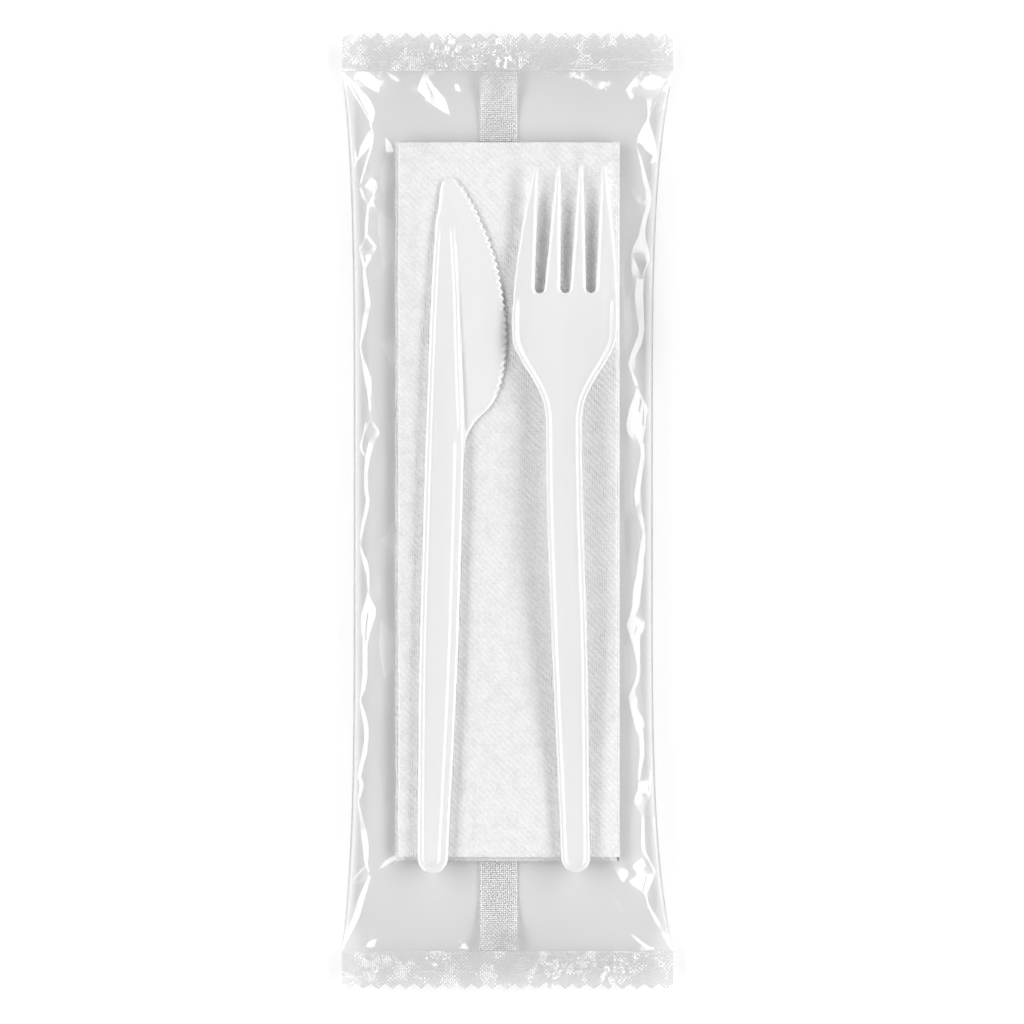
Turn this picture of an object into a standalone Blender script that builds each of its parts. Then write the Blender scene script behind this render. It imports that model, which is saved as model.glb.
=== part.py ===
# Wrapped plastic cutlery pack: a knife and a fork on a folded paper napkin,
# sealed in a clear film flow wrap. Metres, +Y towards the tine end, +Z up.
# The pack lies on its back panel; its front faces up.
import math

import bmesh
import bpy
from mathutils import Matrix, Vector

# Film wrap
PACK_LENGTH = 0.2276      # over the zigzag tips of both end seals
SEAL_SPAN = 0.0788        # across, at the end seals
WAIST_SPAN = 0.0712       # across, half way up
WAIST_SHIFT = -0.0010     # the waist sits a little to the left of the seals
FILM = 0.00005            # one layer of film
SEAL_DEPTH = 0.0091       # one end seal along the pack, teeth included
SEAL_THICKNESS = 0.00036  # crimped film, front and back together
SEAL_HEIGHT = 0.0030      # middle of an end seal above the table
PLAIN_STRIP = 0.0027      # smooth strip between the crimps and the cut end
CRIMP_LEAD = 0.0006       # flat before the first ridge
CRIMP_COUNT = 5           # crimp ridges in one end seal
CRIMP_RISE = 0.0002       # ridges stand this far up and down
TOOTH_COUNT = 23          # zigzag teeth across one cut end
TOOTH_DEPTH = 0.0013
FIN_WIDTH = 0.0089        # back seam, folded flat to the left
FIN_ROOT = 0.0023         # where the back seam leaves the back panel
FIN_SLIT = 0.00004        # between the two layers of the seam
SIDE_HEIGHT = 0.0034      # the rolled side edges above the table
END_TAPER = 0.034         # the front comes down to the seals over this
BACK_TAPER = 0.014        # the back comes up to the seals over this
FLARE = 0.060             # the sides spread out to the seals over this
FILM_CLEARANCE = 0.0008   # film over the highest point inside
FOLD_DEPTH = 0.00035      # a side fold stands out and sinks in by this
STATION_GAP = 0.0003      # cross-sections nearer than this are one
REST_GAP = 0.0003         # between things that lie on each other

# Paper napkin: one sheet, folded over the top end, then over the side,
# then in three
NAPKIN_WIDTH = 0.0535
NAPKIN_LENGTH = 0.1711
NAPKIN_MIDDLE = 0.0022    # its middle above the pack's middle
PAPER = 0.00017           # one embossed sheet
PAPER_SLIT = 0.00002      # between the two sheets of one layer
LAYER_GAP = 0.00006       # between layers
SIDE_STEP = 0.0007        # lower layers show at the left by this
END_STEP = 0.0010         # lower layers show at the bottom by this

# Knife, drawn from the butt up
KNIFE_LENGTH = 0.1654
KNIFE_BUTT = (-0.0179, -0.0862)
KNIFE_LEAN = 1.68         # degrees, tip to the right
KNIFE_WIDTH = 0.0092      # widest part of the handle
KNIFE_BUTT_WIDTH = 0.0070
BLADE_LENGTH = 0.0650
BLADE_REACH = 0.0141      # cutting edge from the handle's middle line
BLADE_PLATE = 0.0009
CUTTING_EDGE = 0.0004
EDGE_BEVEL = 0.0012
KNIFE_TOOTH_PITCH = 0.00167
KNIFE_TOOTH_DEPTH = 0.0006

# Fork, drawn from the butt up
FORK_LENGTH = 0.1683
FORK_BUTT = (0.0163, -0.0859)
FORK_LEAN = -0.49         # degrees, tines to the left
FORK_WIDTH = 0.0086       # widest part of the handle
FORK_BUTT_WIDTH = 0.0068
HEAD_WIDTH = 0.0251
HEAD_LENGTH = 0.0600      # from the neck to the tine tips
TIP_SPAN = 0.0171         # across the four tine tips
SLOT_LENGTH = 0.0305
SLOT_WIDTH = 0.0023
SLOT_PITCH = 0.0061
TINE_TIP = 0.0011
FORK_BOW = 0.0020         # sideways bow of the handle in the tight film
FORK_ARCH = 0.0038        # rise of the neck
TINE_RISE = 0.0028        # rise of the tine tips
HEAD_DISH = 0.0009        # edges of the head above its middle

# Both handles
FLOOR = 0.0011            # flat floor between the rims
RIM_RISE = 0.0012         # rims above the floor
RIM_WIDTH = 0.0015

# Creases in the front film beside the napkin, chosen by eye: place from the
# bottom seal (0) to the top seal (1), then the outer and the inner edge of the
# fold, as shares of the free margin beside the napkin
LEFT_CREASES = (
    (0.05, 0.27, 0.41), (0.085, 0.54, 0.56), (0.12, 0.28, 0.41), (0.17, 0.15, 0.17),
    (0.25, 0.31, 0.39), (0.285, 0.19, 0.21), (0.336, 0.21, 0.35), (0.387, 0.22, 0.60),
    (0.41, 0.39, 0.41), (0.461, 0.16, 0.18), (0.513, 0.31, 0.39), (0.581, 0.20, 0.64),
    (0.603, 0.42, 0.44), (0.644, 0.26, 0.48), (0.689, 0.17, 0.19), (0.74, 0.33, 0.43),
    (0.777, 0.32, 0.34), (0.798, 0.15, 0.61), (0.853, 0.42, 0.44), (0.872, 0.19, 0.21),
    (0.917, 0.22, 0.54), (0.94, 0.56, 0.58), (0.957, 0.40, 0.68),
)
RIGHT_CREASES = (
    (0.057, 0.39, 0.42), (0.088, 0.10, 0.13), (0.114, 0.37, 0.41), (0.171, 0.18, 0.55),
    (0.216, 0.31, 0.40), (0.253, 0.21, 0.46), (0.287, 0.59, 0.61), (0.319, 0.32, 0.36),
    (0.37, 0.20, 0.66), (0.399, 0.31, 0.51), (0.473, 0.20, 0.22), (0.518, 0.29, 0.45),
    (0.567, 0.24, 0.26), (0.592, 0.29, 0.67), (0.618, 0.18, 0.61), (0.669, 0.65, 0.67),
    (0.74, 0.32, 0.52), (0.788, 0.15, 0.66), (0.822, 0.31, 0.41), (0.86, 0.18, 0.34),
    (0.919, 0.26, 0.62), (0.948, 0.42, 0.44), (0.974, 0.48, 0.80),
)

# Worked out from the sizes above
FIN_STACK = 4 * FILM + FIN_SLIT
LAYER = 2 * PAPER + PAPER_SLIT
LAYER_PITCH = LAYER + LAYER_GAP
NAPKIN_BASE = FIN_STACK + REST_GAP
CUTLERY_BASE = NAPKIN_BASE + 6 * LAYER_PITCH - LAYER_GAP + REST_GAP
CUTLERY_HEIGHT = FLOOR + RIM_RISE + FORK_ARCH
CROWN = CUTLERY_BASE + CUTLERY_HEIGHT + FILM_CLEARANCE + FILM
SEAL_LINE = PACK_LENGTH / 2 - SEAL_DEPTH
MARGIN = (WAIST_SPAN - NAPKIN_WIDTH) / 2


def clear_scene():
    for item in list(bpy.data.objects):
        bpy.data.objects.remove(item, do_unlink=True)


def make_collection(name):
    group = bpy.data.collections.new(name)
    bpy.context.scene.collection.children.link(group)
    return group


def make_material(name, color, roughness, alpha=1.0):
    material = bpy.data.materials.new(name)
    material.use_nodes = True
    shader = material.node_tree.nodes["Principled BSDF"]
    shader.inputs["Base Color"].default_value = (*color, 1.0)
    shader.inputs["Roughness"].default_value = roughness
    shader.inputs["Metallic"].default_value = 0.0
    shader.inputs["Alpha"].default_value = alpha
    return material


def put_in(group, item):
    for old in list(item.users_collection):
        old.objects.unlink(item)
    group.objects.link(item)


def as_cutter(item, cutters):
    put_in(cutters, item)
    item.hide_render = True
    item.display_type = "WIRE"
    return item


def follow(points, at):
    # Reads a smooth line through a few (place, value) points, without overshoot
    if at <= points[0][0]:
        return points[0][1]
    if at >= points[-1][0]:
        return points[-1][1]
    slopes = [(b[1] - a[1]) / (b[0] - a[0]) for a, b in zip(points, points[1:])]
    for i, (a, b) in enumerate(zip(points, points[1:])):
        if at <= b[0]:
            before = slopes[i - 1] if i else slopes[i]
            after = slopes[i + 1] if i + 1 < len(slopes) else slopes[i]
            start = (before + slopes[i]) / 2 if before * slopes[i] > 0 else 0.0
            end = (after + slopes[i]) / 2 if after * slopes[i] > 0 else 0.0
            span = b[0] - a[0]
            u = (at - a[0]) / span
            return (a[1] * (1 + 2 * u) * (1 - u) ** 2 + b[1] * (3 - 2 * u) * u ** 2
                    + span * (start * u * (1 - u) ** 2 - end * (1 - u) * u ** 2))
    return points[-1][1]


def blend(low, high, share):
    share = min(max(share, 0.0), 1.0)
    return low + (high - low) * share * share * (3 - 2 * share)


def loft(name, rows, closed_ends=True):
    # Skins a row of cross-sections that all have the same number of points
    mesh = bpy.data.meshes.new(name)
    model = bmesh.new()
    rings = [[model.verts.new(point) for point in row] for row in rows]
    count = len(rows[0])
    for first, second in zip(rings, rings[1:]):
        for i in range(count if closed_ends else count - 1):
            j = (i + 1) % count
            model.faces.new((first[i], second[i], second[j], first[j]))
    if closed_ends:
        model.faces.new(list(reversed(rings[0])))
        model.faces.new(rings[-1])
        bmesh.ops.recalc_face_normals(model, faces=model.faces)
    model.to_mesh(mesh)
    model.free()
    item = bpy.data.objects.new(name, mesh)
    bpy.context.scene.collection.objects.link(item)
    return item


def prism(name, outline, height, turn=None):
    # A flat outline given in its own plane, thickened equally to both sides
    curve = bpy.data.curves.new(name, "CURVE")
    curve.dimensions = "2D"
    curve.fill_mode = "BOTH"
    curve.extrude = height / 2
    spline = curve.splines.new("POLY")
    spline.points.add(len(outline) - 1)
    for point, (x, y) in zip(spline.points, outline):
        point.co = (x, y, 0.0, 1.0)
    spline.use_cyclic_u = True
    drawn = bpy.data.objects.new(name, curve)
    bpy.context.scene.collection.objects.link(drawn)
    bpy.context.view_layer.update()
    graph = bpy.context.evaluated_depsgraph_get()
    mesh = bpy.data.meshes.new_from_object(drawn.evaluated_get(graph))
    bpy.data.objects.remove(drawn, do_unlink=True)
    model = bmesh.new()
    model.from_mesh(mesh)
    bmesh.ops.remove_doubles(model, verts=model.verts, dist=1e-6)
    if turn:
        bmesh.ops.transform(model, matrix=turn, verts=model.verts)
    bmesh.ops.recalc_face_normals(model, faces=model.faces)
    model.to_mesh(mesh)
    model.free()
    item = bpy.data.objects.new(name, mesh)
    bpy.context.scene.collection.objects.link(item)
    return item


def boolean(item, other, operation, solver="EXACT"):
    # Thin sheets that run close together are cut with the MANIFOLD solver
    step = item.modifiers.new(other.name, "BOOLEAN")
    step.operation = operation
    step.object = other
    step.solver = solver


def finish(item, group, material):
    put_in(group, item)
    item.data.materials.clear()
    item.data.materials.append(material)
    item.data.shade_smooth()
    item.data.set_sharp_from_angle(angle=math.radians(35))
    return item


# Turns a drawing's X and Y into the pack's Y and Z, thickened along X
SIDE_ON = Matrix(((0, 0, 1, 0), (1, 0, 0, 0), (0, 1, 0, 0), (0, 0, 0, 1)))
# Turns a drawing's X and Y into the pack's X and Z, thickened along Y
END_ON = Matrix(((1, 0, 0, 0), (0, 0, -1, 0), (0, 1, 0, 0), (0, 0, 0, 1)))


def from_seal(y):
    return SEAL_LINE - abs(y)


def film_half_width(y):
    spread = max(0.0, 1 - max(0.0, from_seal(y)) / FLARE) ** 3.2
    return WAIST_SPAN / 2 + (SEAL_SPAN - WAIST_SPAN) / 2 * spread


def film_middle(y):
    spread = max(0.0, 1 - max(0.0, from_seal(y)) / FLARE) ** 3.2
    return WAIST_SHIFT * (1 - spread)


def film_crown(y):
    low = SEAL_HEIGHT + SEAL_THICKNESS / 2 - FILM / 2
    share = min(max(from_seal(y) / END_TAPER, 0.0), 1.0)
    return low + (CROWN - low) * (1 - (1 - share) ** 1.9)


def film_open(y):
    # 0 where the film is pressed flat at the seals, 1 where it is fully open
    return min(max(from_seal(y) / BACK_TAPER, 0.0), 1.0)


def film_back(y):
    high = SEAL_HEIGHT - SEAL_THICKNESS / 2 + FILM / 2
    return high * (1 - film_open(y)) ** 2


def film_side(y):
    return SEAL_HEIGHT + (SIDE_HEIGHT - SEAL_HEIGHT) * film_open(y)


def film_front(y, inset):
    # Height of the front film at a distance in from the side edge
    half = film_half_width(y)
    across = min(max(1 - inset / half, 0.0), 1.0)
    low = film_side(y)
    return low + (film_crown(y) - low) * (1 - across ** 3.2) ** (0.62 * film_open(y))


def crease_insets(creases, y):
    # Outer and inner edge of the side fold at this place along the pack
    share = (y + SEAL_LINE) / (2 * SEAL_LINE)
    stations = ((0.0, 0.03, 0.06),) + creases + ((1.0, 0.03, 0.06),)
    for a, b in zip(stations, stations[1:]):
        if share <= b[0]:
            u = max(0.0, (share - a[0]) / (b[0] - a[0]))
            return [MARGIN * (a[k] + (b[k] - a[k]) * u) for k in (1, 2)]
    return [MARGIN * stations[-1][k] for k in (1, 2)]


def fold_rises(y, insets):
    # The side fold stands out at its outer edge and sinks in at its inner one,
    # less where it narrows
    wide = min(1.0, (insets[2] - insets[1]) / (0.3 * MARGIN))
    rise = FOLD_DEPTH * film_open(y) * wide
    return (0.0, rise, -rise, 0.0, 0.0)


def film_section(y):
    # Outer skin, from the lip of the back seam round the pack and back to it
    half = film_half_width(y)
    middle = film_middle(y)
    back = film_back(y)
    side = film_side(y)
    low = (side - back) * film_open(y)
    lip = FIN_ROOT - FIN_WIDTH
    seam_top = back + 2 * FILM + FIN_SLIT
    panel = seam_top + FILM
    turn = (seam_top + panel) / 2
    section = [(lip, back), (FIN_ROOT, back)]
    rolled = ((0.80, 0.0), (0.52, 0.02), (0.24, 0.30), (0.06, 0.66))
    for share, rise in rolled:
        section.append((middle + half - MARGIN * share, back + low * rise))
    section.append((middle + half, side))
    right = [MARGIN * 0.02] + crease_insets(RIGHT_CREASES, y) + [MARGIN, half * 0.55]
    for inset, rise in zip(right, fold_rises(y, right)):
        section.append((middle + half - inset, film_front(y, inset) + rise))
    section.append((middle, film_front(y, half)))
    left = [MARGIN * 0.02] + crease_insets(LEFT_CREASES, y) + [MARGIN, half * 0.55]
    for inset, rise in reversed(list(zip(left, fold_rises(y, left)))):
        section.append((middle - half + inset, film_front(y, inset) + rise))
    section.append((middle - half, side))
    for share, rise in reversed(rolled):
        section.append((middle - half + MARGIN * share, back + low * rise))
    section.append((lip - 0.5 * FIN_WIDTH, back))
    section.append((lip - 4 * FILM, panel))
    section.append((FIN_ROOT - 4 * FILM, panel))
    section.append((FIN_ROOT - 3.5 * FILM, turn))
    section.append((FIN_ROOT - 4 * FILM, seam_top))
    section.append((lip, seam_top))
    return [(x, y, z) for x, z in section]


def crimp_profile():
    # The crimped strip seen from the side, ridges then plain strip
    length = SEAL_DEPTH - PLAIN_STRIP - CRIMP_LEAD
    pitch = length / CRIMP_COUNT
    line = [(CRIMP_LEAD, 0.0)]
    for i in range(CRIMP_COUNT):
        line.append((CRIMP_LEAD + pitch * (i + 0.25), CRIMP_RISE))
        line.append((CRIMP_LEAD + pitch * (i + 0.75), -CRIMP_RISE))
    line.append((CRIMP_LEAD + length, 0.0))
    line.append((SEAL_DEPTH, 0.0))
    return line


def end_seal(name, side, cutters):
    # One end seal: a corrugated strip, cut off in teeth
    start = SEAL_LINE - SEAL_THICKNESS
    line = [(start, 0.0)] + [(SEAL_LINE + y, z) for y, z in crimp_profile()]
    over = [(side * y, SEAL_HEIGHT + z + SEAL_THICKNESS / 2) for y, z in line]
    under = [(side * y, SEAL_HEIGHT + z - SEAL_THICKNESS / 2) for y, z in reversed(line)]
    strip = prism(name, over + under, SEAL_SPAN + 2 * FILM, SIDE_ON)
    pitch = SEAL_SPAN / TOOTH_COUNT
    tip = PACK_LENGTH / 2
    beyond = SEAL_SPAN / 2 + pitch
    outline = [(-beyond, start - SEAL_THICKNESS), (-beyond, tip - TOOTH_DEPTH)]
    outline.append((-SEAL_SPAN / 2, tip - TOOTH_DEPTH))
    for i in range(TOOTH_COUNT):
        x = -SEAL_SPAN / 2 + pitch * i
        outline.append((x + pitch / 2, tip))
        if i + 1 < TOOTH_COUNT:
            outline.append((x + pitch, tip - TOOTH_DEPTH))
    outline.append((SEAL_SPAN / 2, tip - TOOTH_DEPTH))
    outline.append((beyond, tip - TOOTH_DEPTH))
    outline.append((beyond, start - SEAL_THICKNESS))
    outline = [(x, side * y) for x, y in outline]
    height = 4 * (SEAL_THICKNESS + CRIMP_RISE)
    teeth = prism(name + "_teeth", outline, height, Matrix.Translation((0, 0, SEAL_HEIGHT)))
    as_cutter(teeth, cutters)
    boolean(strip, teeth, "INTERSECT")
    return as_cutter(strip, cutters)


def film_wrap(group, cutters):
    # The web is one open skin, so the seam's two edges stay free of each other
    reach = SEAL_LINE + SEAL_THICKNESS
    places = {-reach, -SEAL_LINE, SEAL_LINE, reach}
    for share, _, _ in LEFT_CREASES + RIGHT_CREASES:
        places.add((2 * share - 1) * SEAL_LINE)
    places = sorted(places)
    kept = [places[0]]
    for y in places[1:]:
        if y - kept[-1] > STATION_GAP:
            kept.append(y)
    rows = [film_section(min(max(y, -SEAL_LINE), SEAL_LINE)) for y in kept]
    rows = [[(x, y, z) for x, _, z in row] for y, row in zip(kept, rows)]
    web = loft("film_wrap", rows, closed_ends=False)
    shell = web.modifiers.new("film", "SOLIDIFY")
    shell.thickness = FILM
    shell.offset = -1.0
    shell.use_even_offset = True
    for name, side in (("seal_top", 1), ("seal_bottom", -1)):
        boolean(web, end_seal(name, side, cutters), "UNION", "MANIFOLD")
    return finish(web, group, make_material("clear_film", (0.95, 0.96, 0.97), 0.08, 0.25))


def napkin_path(extra):
    # Middle line of the folded sheet's section, from one free edge to the other
    pitch = LAYER_PITCH
    left = -NAPKIN_WIDTH / 2
    right = NAPKIN_WIDTH / 2
    wide = 1.5 * pitch
    small = 0.5 * pitch
    edge = LAYER / 2
    right_turn = right - wide - edge
    left_turn = left + SIDE_STEP + wide + edge
    end_turn = right - SIDE_STEP - small - edge

    def arc(x, level, radius, side, upwards):
        points = []
        for i in range(9):
            angle = math.pi * (i / 8 - 0.5) * (1 if upwards else -1)
            points.append((x + side * radius * math.cos(angle), level * pitch + radius * math.sin(angle)))
        return points

    path = [(left - extra, 0.0)]
    path += arc(right_turn, 1.5, wide, 1, True)
    path += arc(left_turn, 3.5, small, -1, True)
    path += arc(end_turn, 4.5, small, 1, True)
    path += arc(left_turn, 3.5, wide, -1, False)
    path += arc(right_turn, 1.5, small, 1, False)
    path.append((left - extra, pitch))
    return path


def ribbon(path, thickness):
    # Outline of a strip that follows a line
    sides = ([], [])
    for i, point in enumerate(path):
        here = Vector(point)
        before = (here - Vector(path[i - 1])).normalized() if i else None
        after = (Vector(path[i + 1]) - here).normalized() if i + 1 < len(path) else None
        heading = ((before or after) + (after or before)).normalized()
        across = Vector((-heading.y, heading.x))
        reach = thickness / 2 / max(0.5, heading.dot(after or before))
        sides[0].append(tuple(here + across * reach))
        sides[1].append(tuple(here - across * reach))
    return sides[0] + sides[1][::-1]


def napkin(group, cutters):
    base = NAPKIN_BASE + LAYER / 2
    middle = Matrix.Translation((0, NAPKIN_MIDDLE, base))
    folded = prism("napkin", ribbon(napkin_path(0.0), LAYER), NAPKIN_LENGTH, middle @ END_ON)
    # The sheet is doubled: each layer is open down to the fold at the top end
    over = END_STEP
    shift = Matrix.Translation((0, NAPKIN_MIDDLE - over - PAPER, base))
    outline = ribbon(napkin_path(over), PAPER_SLIT)
    slit = prism("napkin_slit", outline, NAPKIN_LENGTH + 2 * over - 2 * PAPER, shift @ END_ON)
    boolean(folded, as_cutter(slit, cutters), "DIFFERENCE", "MANIFOLD")
    # The upper layers stop short at the bottom end
    low = base + 1.5 * LAYER_PITCH + 0.2 * LAYER_GAP
    high = CUTLERY_BASE
    bottom = NAPKIN_MIDDLE - NAPKIN_LENGTH / 2
    bpy.ops.mesh.primitive_cube_add(size=1, location=(0, bottom, (low + high) / 2))
    step = bpy.context.object
    step.name = "napkin_step"
    step.scale = (NAPKIN_WIDTH * 1.2, 2 * END_STEP, high - low)
    boolean(folded, as_cutter(step, cutters), "DIFFERENCE", "MANIFOLD")
    return finish(folded, group, make_material("white_paper", (0.93, 0.93, 0.93), 0.9))


def butt_share(t, length):
    # Half-round end: share of the full width at a distance from the end
    u = min(t / length + 0.015, 1.0)
    return math.sqrt(max(0.0, 1 - (1 - u) ** 2))


def knife_left(t):
    neck = KNIFE_LENGTH - BLADE_LENGTH
    if t <= neck:
        return -handle_half(t / neck, KNIFE_BUTT_WIDTH, KNIFE_WIDTH)
    u = (t - neck) / BLADE_LENGTH
    side = follow(((0, 1.0), (0.35, 0.97), (0.6, 0.92), (0.8, 0.78), (0.95, 0.58), (1.0, 0.3)), u)
    return -side * KNIFE_WIDTH / 2


def knife_right(t):
    # Right side of the handle, carried on up the blade as a rib
    neck = KNIFE_LENGTH - BLADE_LENGTH
    if t <= neck:
        return handle_half(t / neck, KNIFE_BUTT_WIDTH, KNIFE_WIDTH)
    u = (t - neck) / BLADE_LENGTH
    narrow = follow(((0, 1.0), (0.4, 0.63), (0.6, 0.48), (0.8, 0.23), (0.9, 0.08), (1.0, 0.0)), u)
    return KNIFE_WIDTH / 2 * narrow


def handle_half(u, butt, full):
    shape = follow(((0, butt / full), (0.2, 0.86), (0.42, 0.96), (0.62, 1.0), (1.0, 1.0)), u)
    return shape * full / 2


def blade_edge(t):
    neck = KNIFE_LENGTH - BLADE_LENGTH
    u = (t - neck) / BLADE_LENGTH
    line = ((0.0, 0.0), (0.06, 0.07), (0.12, 0.3), (0.17, 0.62), (0.225, 0.83), (0.27, 0.92),
            (0.38, 1.0), (0.56, 0.9), (0.66, 0.77), (0.76, 0.6), (0.86, 0.36), (0.945, 0.04),
            (1.0, -0.38))
    return KNIFE_WIDTH / 2 + follow(line, u) * (BLADE_REACH - KNIFE_WIDTH / 2)


def knife_places():
    # Stations along the knife: the round butt, the handle, then one at every
    # peak and valley of the teeth
    butt = KNIFE_BUTT_WIDTH / 2
    neck = KNIFE_LENGTH - BLADE_LENGTH
    places = [(butt * (1 - math.cos(math.radians(a))), 0) for a in (12, 30, 48, 66, 90)]
    places += [(butt + (neck - butt) * i / 8, 0) for i in range(1, 9)]
    first = neck + 0.21 * BLADE_LENGTH
    places += [(neck + (first - neck) * i / 7, 0) for i in range(1, 7)]
    count = int((KNIFE_LENGTH - first) / (KNIFE_TOOTH_PITCH / 2) - 2.6)
    places += [(first + KNIFE_TOOTH_PITCH / 2 * i, i % 2) for i in range(count + 1)]
    last = places[-1][0]
    places += [(last + (KNIFE_LENGTH - last) * share, 0) for share in (0.5, 0.85, 1.0)]
    return places


def knife_section(t, valley):
    butt = butt_share(t, KNIFE_BUTT_WIDTH / 2)
    left = knife_left(t) * butt
    rib = knife_right(t) * butt
    neck = KNIFE_LENGTH - BLADE_LENGTH
    cut = max(rib, blade_edge(t)) if t > neck else rib
    cut -= KNIFE_TOOTH_DEPTH * valley
    cut = max(cut, left + CUTTING_EDGE)
    plate = min(max(cut - rib, 0.0) / (2 * RIM_WIDTH), 1.0)
    fade = blend(1.0, 0.0, (t - neck) / BLADE_LENGTH * 2.2 - 1.15)
    rise = BLADE_PLATE + (FLOOR + RIM_RISE - BLADE_PLATE) * fade
    floor = BLADE_PLATE + (FLOOR - BLADE_PLATE) * fade
    rib = min(rib, cut)
    rim = min(RIM_WIDTH, (rib - left) * 0.3)
    slope = rim * 0.35
    bevel = min(EDGE_BEVEL, (cut - rib) * 0.5)
    return [
        (left, t, 0.0),
        (cut, t, 0.0),
        (cut, t, rise * 0.45 * (1 - plate) + CUTTING_EDGE * plate),
        (cut - bevel, t, rise * 0.6 * (1 - plate) + BLADE_PLATE * plate),
        (rib, t, rise * 0.75 * (1 - plate) + BLADE_PLATE * plate),
        (rib - slope, t, rise),
        (rib - 2 * slope, t, rise),
        (rib - rim, t, floor),
        (left + rim, t, floor),
        (left + 2 * slope, t, rise),
        (left + slope, t, rise),
        (left, t, rise * 0.6),
    ]


def knife(group):
    rows = [knife_section(t, valley) for t, valley in knife_places()]
    item = loft("knife", rows)
    item.location = (*KNIFE_BUTT, CUTLERY_BASE)
    item.rotation_euler = (0, 0, -math.radians(KNIFE_LEAN))
    return finish(item, group, make_material("white_plastic_knife", (0.91, 0.91, 0.91), 0.3))


def fork_half(t):
    neck = FORK_LENGTH - HEAD_LENGTH
    if t <= neck:
        return handle_half(t / neck, FORK_BUTT_WIDTH, FORK_WIDTH)
    u = (t - neck) / HEAD_LENGTH
    grow = follow(((0.0, 0.0), (0.07, 0.1), (0.15, 0.38), (0.23, 0.74), (0.3, 0.96), (0.38, 1.0)), u)
    half = FORK_WIDTH / 2 + (HEAD_WIDTH - FORK_WIDTH) / 2 * grow
    draw = follow(((0.4, 0.0), (0.55, 0.1), (0.75, 0.42), (0.9, 0.76), (1.0, 1.0)), u)
    return half - (HEAD_WIDTH - TIP_SPAN) / 2 * draw


def fork_middle(t):
    # The handle bows to the left; the head comes back to the straight line
    bow = ((0.0, 0.0), (0.27, 0.45), (0.6, 1.0), (0.78, 0.78), (0.9, 0.4), (1.0, 0.0))
    return -FORK_BOW * follow(bow, t / FORK_LENGTH)


def fork_section(t):
    butt = butt_share(t, FORK_BUTT_WIDTH / 2)
    half = fork_half(t) * butt
    along = t / FORK_LENGTH
    neck = FORK_LENGTH - HEAD_LENGTH
    head = (t - neck) / HEAD_LENGTH
    middle = fork_middle(t)
    arch = ((0.0, 0.0), (0.1, 0.05), (0.35, 0.7), (0.56, 1.0), (0.68, 0.72), (0.8, 0.0))
    lift = FORK_ARCH * follow(arch, along)
    lift += TINE_RISE * follow(((0.8, 0.0), (0.9, 0.4), (1.0, 1.0)), along)
    dish = HEAD_DISH * blend(0.0, 1.0, head / 0.35) * blend(1.0, 0.3, (head - 0.5) / 0.5)
    rise = RIM_RISE * blend(1.0, 0.15, (head - 0.4) / 0.35)
    rim = min(RIM_WIDTH, half * 0.45)
    slope = rim * 0.35
    top = FLOOR + rise

    def point(x, z):
        return (middle + x, t, lift + z + dish * (x / half) ** 2)

    return [
        point(-half, 0.0), point(-half * 0.5, 0.0), point(0, 0.0), point(half * 0.5, 0.0),
        point(half, 0.0), point(half, top * 0.6), point(half - slope, top),
        point(half - 2 * slope, top), point(half - rim, FLOOR), point(half * 0.3, FLOOR),
        point(-half * 0.3, FLOOR), point(rim - half, FLOOR), point(2 * slope - half, top),
        point(slope - half, top), point(-half, top * 0.6),
    ]


def slot(name, place, cutters):
    # One gap between two tines: round at its root, wider towards the tips
    root = FORK_LENGTH - SLOT_LENGTH
    radius = SLOT_WIDTH / 2
    x = place * SLOT_PITCH + fork_middle(root)
    over = 2 * TINE_TIP
    # Room that the tine tips leave between them, shared by the three gaps
    free = (TIP_SPAN - 4 * TINE_TIP) / 3
    tip_x = place * (free + TINE_TIP) + fork_middle(FORK_LENGTH)
    outline = []
    for i in range(9):
        angle = math.pi * (1 + i / 8)
        outline.append((x + radius * math.cos(angle), root + radius + radius * math.sin(angle)))
    outline.append((tip_x + free / 2, FORK_LENGTH - TINE_TIP))
    outline.append((tip_x + free / 2 + TINE_TIP * 0.3, FORK_LENGTH + over))
    outline.append((tip_x - free / 2 - TINE_TIP * 0.3, FORK_LENGTH + over))
    outline.append((tip_x - free / 2, FORK_LENGTH - TINE_TIP))
    return as_cutter(prism(name, outline, 4 * CUTLERY_HEIGHT), cutters)


def fork(group, cutters):
    butt = FORK_BUTT_WIDTH / 2
    neck = FORK_LENGTH - HEAD_LENGTH
    places = [butt * (1 - math.cos(math.radians(a))) for a in (12, 30, 48, 66, 90)]
    places += [butt + (neck - butt) * i / 14 for i in range(1, 15)]
    places += [neck + HEAD_LENGTH * i / 20 for i in range(1, 21)]
    item = loft("fork", [fork_section(t) for t in places])
    item.location = (*FORK_BUTT, CUTLERY_BASE)
    item.rotation_euler = (0, 0, -math.radians(FORK_LEAN))
    for i, place in enumerate((-1, 0, 1)):
        cutter = slot(f"slot_{i + 1}", place, cutters)
        cutter.parent = item
        boolean(item, cutter, "DIFFERENCE")
    return finish(item, group, make_material("white_plastic_fork", (0.91, 0.91, 0.91), 0.3))


def build():
    clear_scene()
    group = make_collection("plastic_cutlery_pack")
    cutters = make_collection("cutters")
    film_wrap(group, cutters)
    napkin(group, cutters)
    knife(group)
    fork(group, cutters)


build()
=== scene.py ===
import math

import bpy
import numpy as np
from mathutils import Matrix, noise
from mathutils.geometry import delaunay_2d_cdt


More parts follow.
